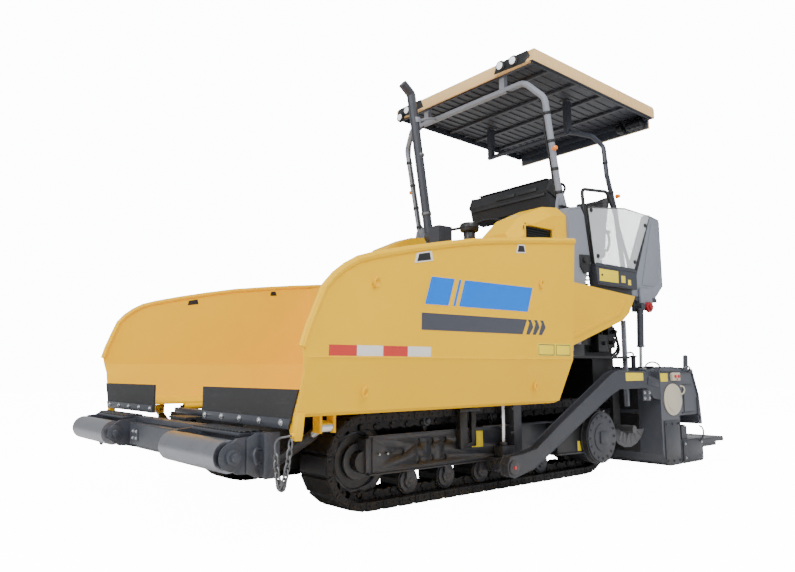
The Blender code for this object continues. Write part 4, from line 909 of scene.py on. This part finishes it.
lids = []
for y0, y1 in screed["lids"]:
    middle = (y0 + y1) / 2
    lids += [plate([(-1.76, 0.9125), (-2.215, 0.903), (-2.225, 0.909), (-2.215, 0.916), (-1.76, 0.9245)],
                   "Y", y0, y1, 0.003),
             run([(-2.12, middle + y, z) for y, z in ((-0.07, 0.905), (-0.07, 0.945), (0.07, 0.945), (0.07, 0.905))],
                 0.008),
             *rods("Y", *[(-1.752, 0.922, y - 0.035, y + 0.035, 0.01, 0.002, 14) for y in (y0 + 0.1, y1 - 0.1)])]
finish("screed_lids", "dark", "screed", *lids)
cranks = []
for y in (0.3, 0.95):
    cranks += [*rods("Z", (-1.685, y, 0.89, 1.02, 0.022, 0.004, 20), (-1.685, y, 1.018, 1.034, 0.034, 0.004, 20)),
               run([(-1.685, y, 1.03), (-1.685, y, 1.055), (-1.685, y - 0.099, 1.06), (-1.685, y - 0.11, 1.07),
                    (-1.685, y - 0.11, 1.1)], 0.008)]
finish("screed_cranks", "dark", "screed", both(*cranks))
finish("screed_back_panels", "dark", "screed", *[
    plate(outline, "Y", y0, y1, 0.002) for y0, y1 in screed["back"]
    for outline in ([(-2.262, 0.88), (-2.366, 0.64), (-2.374, 0.644), (-2.27, 0.886)],
                    [(-2.37, 0.615), (-2.392, 0.41), (-2.4, 0.41), (-2.378, 0.617)])])
boxes = []
for y in (0.98, -0.98):
    boxes += [*slabs((-2.44, y - 0.13, 0.7, -2.36, y + 0.13, 0.84, 0.012),
                     (-2.36, y - 0.04, 0.72, -2.3, y + 0.04, 0.78, 0.006)),
              *rods("X", *[(spot, 0.8, -2.455, -2.438, 0.01, 0.003, 14) for spot in row(y - 0.07, 0.045, 4)]),
              run([(-2.42, y + 0.05, 0.7), (-2.43, y + 0.05, 0.6), (-2.4, y + 0.02, 0.5), (-2.385, y + 0.02, 0.44)],
                  0.01)]
finish("screed_controls", "plastic", "screed", *boxes)
finish("screed_lamps", "red", "screed", both(*rods(
    "X", *[(y, 0.52, -2.394, -2.404, 0.018, 0.004, 20) for y in row(1.2, -0.05, 3)])))

finishPair("walkway_grid", "grid", "screed_extension",
           *slabs((-2.815, 0.03, 0.2003, -2.385, 1.235, 0.2085, 0.002)), own=True)
lights = (0.25, 0.62, 0.98)
finishPair("extension_trim", "dark", "screed_extension", *slabs(
    (-2.8195, 0.015, 0.163, -2.805, 1.248, 0.212, 0.003), (-2.805, 1.236, 0.168, -2.385, 1.2495, 0.214, 0.003),
    (-2.36, 1.251, 0.03, -1.98, 1.262, 0.22, 0.004), (-2.384, 0.05, 0.05, -2.381, 1.22, 0.15, 0.001),
    *[(-2.398, y - 0.05, 0.075, -2.38, y + 0.05, 0.135, 0.005) for y in lights]), *rods(
    "X", *[(y, 0.105, -2.398, -2.408, 0.022, 0.003, 20) for y in lights]),
    run([(-2.3, 1.262, 0.2), (-2.3, 1.29, 0.235), (-2.3, 1.29, 0.33), (-2.3, 1.262, 0.345)], 0.008), own=True)
finishPair("extension_bolts", "shine", "screed_extension", bolts(
    [(x, 1.262, z) for x in (-2.33, -2.01) for z in (0.06, 0.19)], (0, 1, 0), 0.009, 0.007), own=True)
# black plates on the screed's front face: painted shade on the face turned from the light
finish("screed_front_shade_plates", "black", "screed", *slabs(
    *[(-1.6195, y0, 0.52, -1.612, y1, 0.86, 0.003) for y0, y1 in screed["front"]],
    (-1.6195, -1.02, 0.13, -1.606, 1.02, 0.48, 0.004)))
print("screed dressed")

# push beam and rollers
push = {"roller": (2.735, 0.47), "outer": 1.3305, "inner": 0.5195}
spot, outer, inner = push["roller"], push["outer"], push["inner"]
finish("push_steps", "grid", "push_beam", both(*slabs((2.505, 0.62, 0.5805, 2.64, 1.24, 0.589, 0.002))))
finish("push_beam_ends", "dark", "push_beam", both(
    *rods("Y", (*spot, outer, outer + 0.01, 0.072, 0.004, 36), (*spot, outer, outer + 0.038, 0.04, 0.005, 28),
          (*spot, outer + 0.036, outer + 0.066, 0.026, 0.004, 6), (*spot, inner, inner - 0.012, 0.055, 0.004, 32),
          (*spot, inner, inner - 0.03, 0.028, 0.004, 6)),
    plate([(2.515, 0.362), (2.6, 0.355), (2.655, 0.385), (2.655, 0.555), (2.6, 0.585), (2.515, 0.578)],
          "Y", 1.33, 1.34, 0.003),
    *[plate([(2.58, 0.36), (2.66, 0.378), (2.66, 0.398), (2.58, 0.42)], "Y", y - 0.006, y + 0.006, 0.002)
      for y in (0.56, 1.28)],
    *slabs((2.495, 1.392, 0.352, 2.585, 1.402, 0.588, 0.003), (2.578, 0.62, 0.562, 2.65, 1.24, 0.5802, 0.003)),
    run([(2.585, 1.36, 0.5), (2.625, 1.375, 0.5), (2.625, 1.385, 0.44), (2.585, 1.36, 0.43)], 0.008)))
finish("push_beam_trim", "dark", "push_beam", *slabs(
    (2.5805, -0.4, 0.385, 2.588, 0.4, 0.395, 0.002), (2.5805, -0.4, 0.545, 2.588, 0.4, 0.555, 0.002),
    (2.6, -0.46, 0.536, 2.655, 0.46, 0.545, 0.003),
    *[(2.655, y - 0.05, 0.43, 2.668, y + 0.05, 0.51, 0.004) for y in (-0.3, 0.3)]),
    *rods("Z", (2.42, 0, 0.5847, 0.5862, 0.045, 0.0004, 28)))
finish("push_beam_bolts", "shine", "push_beam", bolts(
    [(2.668, y, z) for y in (-0.335, -0.265, 0.265, 0.335) for z in (0.447, 0.493)], (1, 0, 0), 0.008, 0.006))
finishPair("roller_bands", "dark", "push_roller", *rods(
    "Y", (*spot, 0.5505, 0.554, 0.0845, 0.001, 64), (*spot, 1.2995, 1.296, 0.0845, 0.001, 64),
    *[(*spot, y - 0.004, y + 0.004, 0.0849, 0.0008, 64) for y in (0.66, 1.19)]), own=True)

# the lifting chain that hangs on the wing's latch
chain = {"long": 0.015, "wire": 0.0052, "stretch": 1.6, "count": 17, "first": Vector((2.545, 1.445, 0.48)),
         "lowest": Vector((2.535, 1.495, 0.32)), "last": Vector((2.51, 1.538, 0.56))}
first, last = chain["first"], chain["last"]
pull = 2 * chain["lowest"] - (first + last) / 2
loop = []
for n in range(chain["count"]):
    share = (n + 0.5) / chain["count"]
    spot = (1 - share) ** 2 * first + 2 * share * (1 - share) * pull + share ** 2 * last
    way = (2 * (1 - share) * (pull - first) + 2 * share * (last - pull)).normalized()
    turn = Vector((1, 0, 0)).rotation_difference(way).to_matrix().to_4x4()
    turn = turn @ Matrix.Rotation(math.radians(90 * (n % 2)), 4, "X") @ Matrix.Diagonal((chain["stretch"], 1, 1, 1))
    loop.append(hoop(chain["long"], chain["wire"], 14, 6, Matrix.Translation(spot) @ turn))
hook = run([(2.492, 1.512, 0.575), (2.51, 1.52, 0.575), (2.548, 1.452, 0.545), (2.547, 1.445, 0.482)], 0.006)
onWings("latch_chain", "wornSteel", *loop, hook)

# inside the hopper
chains = [slab((x, y - 0.011, 0.6008), (x + 0.03, y + 0.011, 0.612), 0.003, 1) for y in (0.08, 0.41)
          for x in row(0.46, 0.0395, 46)]
finish("conveyor_bars", "wornSteel", "chassis", both(
    *slabs(*[(x - 0.016, 0.065, 0.6035, x + 0.016, 0.425, 0.624, 0.004) for x in row(0.5, 0.132, 14)]), *chains))
finish("conveyor_cover", "dark", "chassis",
       plate([(-0.055, 0.6005), (0.055, 0.6005), (0.035, 0.648), (-0.035, 0.648)], "X", 0.4, 2.3, 0.004),
       *slabs((2.285, -0.445, 0.6003, 2.335, 0.445, 0.64, 0.008)))
finish("rear_wall_ribs", "yellow", "chassis", *slabs(
    *[(0.2225, y - 0.025, 1.52, 0.2285, y + 0.025, 1.87, 0.003) for y in (-0.62, -0.3, 0.0, 0.3, 0.62)],
    (0.3755, -0.67, 1.005, 0.381, 0.67, 1.035, 0.003), (0.2222, -0.675, 1.845, 0.229, 0.675, 1.877, 0.003)),
    plate([(0.3765, 1.15), (0.382, 1.15), (0.2288, 1.505), (0.223, 1.505)], "Y", -0.03, 0.03, 0.002),
    both(*slabs((0.3753, 0.455, 0.61, 0.381, 0.475, 1.0, 0.002))))
finish("conveyor_gates", "dark", "chassis", both(*slabs(
    (0.33, 0.06, 0.86, 0.345, 0.44, 0.995, 0.004), (0.345, 0.23, 0.9, 0.352, 0.27, 0.995, 0.003))))
print("hopper dressed")

# platform, console and seats
finish("platform_grid", "grid", "chassis", *slabs((-1.93, -1.02, 1.6003, -0.76, 1.02, 1.6035, 0.001)))
finish("platform_kerbs", "dark", "chassis", *slabs((-1.955, -1.05, 1.565, -1.942, 1.05, 1.625, 0.003)), both(
    *slabs((-1.95, 1.016, 1.6, -1.51, 1.028, 1.66, 0.003)),
    *rods("Z", (-1.62, 0.94, 1.6005, 1.612, 0.055, 0.003, 28))))
cheek = [(-1.052, 2.528), (-1.026, 2.7), (-0.962, 2.752), (-0.838, 2.727), (-0.792, 2.622), (-0.8, 2.6),
         (-1.045, 2.5)]
finish("console_shell", "plastic", "chassis", *[plate(cheek, "Y", y, y + 0.017, 0.006) for y in (0.655, -0.372)],
       *slabs((-0.965, -0.3, 2.742, -0.875, 0.6, 2.756, 0.006), (-0.806, -0.33, 2.56, -0.79, 0.63, 2.588, 0.006),
              *[(-0.801, y, 2.62, -0.786, y + 0.24, 2.66, 0.006) for y in (0.02, 0.3)]),
       *[run([(-0.92, y, 2.66), (-0.92, y + out * 0.05, 2.68), (-1.0, y + out * 0.06, 2.66),
              (-1.03, y + out * 0.01, 2.6)], 0.012) for y, out in ((0.66, 1), (-0.36, -1))],
       *rods("Z", *[(-0.92, 0.15, 1.64 + n * 0.034, 1.66 + n * 0.034, 0.105 - n * 0.003, 0.008, 28)
                    for n in range(9)]))
wheel = {"centre": Vector((-1.155, 0.15, 2.66)), "tilt": Matrix.Rotation(math.radians(-52), 4, "Y")}
spokes = [hoop(0.175, 0.014, 48, 12, Matrix.Translation(wheel["centre"]) @ wheel["tilt"]),
          bar((-1.035, 0.15, 2.6), (-1.158, 0.15, 2.662), 0.022, 0.004, 20),
          bar((-1.142, 0.15, 2.655), (-1.172, 0.15, 2.668), 0.045, 0.008, 28)]
for angle in (90, 210, 330):
    reach = Vector((math.cos(math.radians(angle)) * 0.17, math.sin(math.radians(angle)) * 0.17, 0))
    spokes.append(bar(wheel["centre"], wheel["centre"] + wheel["tilt"] @ reach, 0.009, 0.002, 14))
finish("steering_wheel", "plastic", "chassis", *spokes)
bottom, top = Vector((-1.052, 0, 2.52)), Vector((-1.024, 0, 2.7))
a, b = bottom.lerp(top, 0.28), bottom.lerp(top, 0.92)
glass = [(a.x - 0.001, a.z), (b.x - 0.001, b.z), (b.x - 0.01, b.z + 0.001), (a.x - 0.01, a.z + 0.001)]
finish("console_screens", "screen", "chassis", plate(glass, "Y", 0.3, 0.5, 0.002),
       plate(glass, "Y", -0.24, -0.08, 0.002))
knobs = []
for y in row(-0.03, 0.031, 10):
    for share in (0.35, 0.65):
        a = bottom.lerp(top, share)
        if not (0.1 < y < 0.2):
            knobs.append(bar((a.x, y, a.z), (a.x - 0.012, y, a.z + 0.002), 0.0095, 0.002, 14))
for y in (0.56, -0.3):
    knobs += [run([(-1.02, y, 2.68), (-1.06, y, 2.73), (-1.065, y, 2.78)], 0.008),
              *rods("Z", (-1.065, y, 2.775, 2.815, 0.018, 0.008, 20, 0.014))]
finish("console_knobs", "black", "chassis", *knobs)

seat = {"y": 0.55, "swell": 0.018, "voxel": 0.0065, "pressure": 4.0, "frames": 20, "seam": 0.009, "fill": 0.8}


def cushion(name, thing, pull):
    # a stuffed pad: the block swells under pressure, then gets a smooth skin
    pick(thing)
    mesh = thing.modifiers.new("remesh", "REMESH")
    mesh.mode = "VOXEL"
    mesh.voxel_size = seat["voxel"] * 1
    bpy.ops.object.modifier_apply(modifier=mesh.name)
    start = [corner.co.copy() for corner in thing.data.vertices]
    cloth = thing.modifiers.new("cloth", "CLOTH")
    cloth.settings.quality = 4
    cloth.settings.use_pressure = True
    cloth.settings.uniform_pressure_force = seat["pressure"]
    cloth.settings.effector_weights.gravity = 0
    cloth.settings.tension_stiffness = 30
    cloth.settings.shrink_min = -0.02
    cloth.point_cache.frame_start = 1
    cloth.point_cache.frame_end = seat["frames"]
    for step in range(1, seat["frames"] + 1):
        bpy.context.scene.frame_set(step)
    bpy.ops.object.modifier_apply(modifier=cloth.name)
    bpy.context.scene.frame_set(1)
    for corner, place in zip(thing.data.vertices, start):
        move = corner.co - place
        if move.length > seat["swell"]:
            corner.co = place + move.normalized() * seat["swell"]
    pull(thing)
    smooth = thing.modifiers.new("smooth", "SMOOTH")
    smooth.factor = 0.5
    smooth.iterations = 4
    bpy.ops.object.modifier_apply(modifier=smooth.name)
    bpy.ops.object.shade_smooth()
    return thing


def baseChannels(thing):
    # sewn lines along and across the top of the base cushion
    for corner in thing.data.vertices:
        if corner.co.z > 2.07:
            for x in (-1.3, -1.42, -1.53):
                corner.co.z -= 0.009 * math.exp(-((corner.co.x - x) / seat["seam"]) ** 2)
            for y in (seat["y"] - 0.15, seat["y"] + 0.15):
                corner.co.z -= 0.008 * math.exp(-((corner.co.y - y) / seat["seam"]) ** 2)


def backChannels(thing):
    # sewn lines across the front of the backrest
    for corner in thing.data.vertices:
        lean = (corner.co.z - 2.08) / 0.6
        if corner.co.x > -1.585 - lean * 0.13:
            for z in (2.24, 2.36, 2.48, 2.6):
                corner.co.x -= 0.01 * math.exp(-((corner.co.z - z) / seat["seam"]) ** 2)


base = slab((-1.603, seat["y"] - 0.223, 2.017), (-1.157, seat["y"] + 0.223, 2.104), 0.035, 4)
back = plate([(-1.548, 2.105), (-1.615, 2.105), (-1.742, 2.66), (-1.688, 2.678)], "Y", seat["y"] - 0.203,
             seat["y"] + 0.203, 0.028, 4)
pairs = [finishPair(part, "seat", "chassis", cushion(part, thing, pull))
         for part, thing, pull in (("seat_cushion", base, baseChannels), ("seat_back", back, backChannels))]
for pad in pairs[0] + pairs[1]:
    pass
pairs.append(finishPair("seat_stand", "plastic", "chassis", *slabs(
    (-1.5, 0.43, 1.6004, -1.28, 0.67, 1.64, 0.006), (-1.46, 0.49, 1.63, -1.32, 0.61, 1.96, 0.02),
    (-1.56, 0.36, 1.955, -1.2, 0.74, 2.0, 0.012), (-1.56, 0.285, 2.03, -1.3, 0.297, 2.06, 0.003),
    *[(-1.6, y - 0.028, 2.255, -1.32, y + 0.028, 2.292, 0.014) for y in (0.3, 0.8)],
    *[(-1.47 - n * 0.003, 0.475 - n * 0.004, 1.7 + n * 0.045, -1.31 + n * 0.003, 0.625 + n * 0.004, 1.715 + n * 0.045,
       0.006) for n in range(5)]), *rods("Y", (-1.56, 2.09, 0.3, 0.8, 0.016, 0.003, 18)),
    *[run([(-1.56, y, 2.08), (-1.6, y, 2.2), (-1.58, y, 2.26)], 0.012) for y in (0.3, 0.8)]))
for pair in pairs:
    for thing, end in zip(pair, ("_left", "_right")):
        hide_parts("seat" + end)
print("platform dressed")

# under the platform
hoses = [[(x, 0.965, z - 0.01), (x - 0.01, 0.97, z + lift * 0.5), (x - 0.06, 0.98, z + lift * 0.8),
          (x - 0.06, 0.98, 1.562)]
         for x, z, lift in ((-1.3, 1.3, 0.2), (-1.26, 1.3, 0.22), (-1.08, 1.22, 0.3), (-1.14, 1.22, 0.3))]
bends = [[(-1.365, 0.9, 1.2), (-1.42, 0.93, 1.18), (-1.44, 0.95, 1.12), (-1.42, 0.95, 1.05), (-1.37, 0.93, 1.022)],
         [(-1.365, 0.8, 1.36), (-1.45, 0.86, 1.33), (-1.48, 0.9, 1.22), (-1.45, 0.92, 1.08), (-1.37, 0.88, 1.023)]]
finish("hydraulic_valves", "black", "chassis", both(
    *slabs(*[(x0, 0.9203, z0, x1, out, z1, 0.006) for x0, x1, z0, z1, out in (
        (-1.33, -1.22, 1.1, 1.3, 0.985), (-1.18, -1.02, 1.06, 1.22, 1.01), (-1.18, -1.06, 1.27, 1.45, 0.97),
        (-0.98, -0.84, 1.12, 1.4, 0.96))], (-0.665, 1.0995, 1.0215, -0.5, 1.103, 1.118, 0.001)),
    *rods("Y", *[(x, z, 0.97, 1.035, 0.018, 0.004, 20) for x, z in ((-1.28, 1.25), (-1.1, 1.14), (-1.12, 1.36),
                                                                   (-1.24, 1.15))]),
    *[run(line, 0.01) for line in hoses], *[run(line, 0.012) for line in bends]))
pipes = both(
    run([(-1.6, 1.015, 1.562), (-1.65, 1.02, 1.52), (-1.7, 1.03, 1.5), (-1.75, 1.03, 1.52), (-1.78, 1.02, 1.562)],
        0.013),
    run([(-1.7, 0.96, 1.562), (-1.73, 0.98, 1.5), (-1.79, 0.99, 1.475), (-1.84, 0.99, 1.51), (-1.86, 0.98, 1.562)],
        0.013))
finish("platform_pipes", "hose", "chassis", pipes, *slabs((-1.83, 0.96, 1.53, -1.58, 1.08, 1.562, 0.004),
                                                          (-1.83, -1.02, 1.53, -1.58, -0.96, 1.562, 0.004)))
finish("grey_brackets", "light", "chassis", both(
    plate([(-1.625, 1.68), (-1.83, 1.688), (-1.845, 1.515), (-1.625, 1.525)], "Y", 1.075, 1.098, 0.004),
    *slabs((-1.407, 1.018, 0.56, -1.3805, 1.062, 1.36, 0.004))))
finish("horns", "signal", "chassis", both(*rods(
    "Y", (-1.735, 1.5, 1.1, 1.132, 0.052, 0.008, 32), (-1.735, 1.5, 1.13, 1.15, 0.03, 0.006, 24),
    (-1.735, 1.5, 1.06, 1.1, 0.03, 0.004, 24))))
finishPair("lift_bands", "dark", "lift_cylinder", *rods("Z", *[
    (-1.6 + (1.5 - z) * 0.066, 1.1, z - 0.01, z + 0.01, 0.0365, 0.004, 28) for z in (1.47, 1.12)]), own=True)
print("underside dressed")

# floor and light
studio = {"floor": 60.0, "air": 0.66, "backdrop": 14.0, "glow": 14.0}
bpy.ops.object.select_all(action="DESELECT")
bpy.ops.mesh.primitive_plane_add(size=studio["floor"])
floor = bpy.context.object
floor.name = "studio_floor"
pale = Paint("studio_floor")
pale.set("Base Color", pale.blend(pale.noise(0.4), (0.83, 0.83, 0.83), (0.86, 0.86, 0.86)))
pale.set("Roughness", 0.85)
pale.set("Emission Color", pale.blend(pale.node("ShaderNodeLightPath", {}, ()), (0.0, 0.0, 0.0), (1.0, 1.0, 1.0)))
pale.surface.inputs["Emission Strength"].default_value = studio["glow"]
floor.data.materials.append(pale.material)
world = bpy.data.worlds.new("studio_air")
bpy.context.scene.world = world
world.use_nodes = True
air = world.node_tree.nodes["Background"]
air.inputs["Color"].default_value = (0.97, 0.985, 1.0, 1)
seen = world.node_tree.nodes.new("ShaderNodeLightPath")
level = world.node_tree.nodes.new("ShaderNodeMapRange")
level.inputs["To Min"].default_value = studio["air"]
level.inputs["To Max"].default_value = studio["backdrop"]
world.node_tree.links.new(seen.outputs["Is Camera Ray"], level.inputs["Value"])
world.node_tree.links.new(level.outputs["Result"], air.inputs["Strength"])


def softLight(name, place, target, size, power):
    lamp = bpy.data.objects.new(name, bpy.data.lights.new(name, "AREA"))
    bpy.context.scene.collection.objects.link(lamp)
    lamp.data.shape = "RECTANGLE"
    lamp.data.size, lamp.data.size_y = size
    lamp.data.energy = power
    lamp.location = place
    lamp.rotation_euler = (Vector(target) - Vector(place)).to_track_quat("-Z", "Y").to_euler()


softLight("key_light", (3.0, 8.0, 9.5), (0.5, 0, 1), (6, 5), 980)
softLight("front_light", (10.0, 1.5, 5.0), (1.5, 0, 1), (5, 4), 520)
softLight("rim_light", (-7.0, -3.0, 7.0), (-0.5, 0, 1.8), (5, 4), 520)
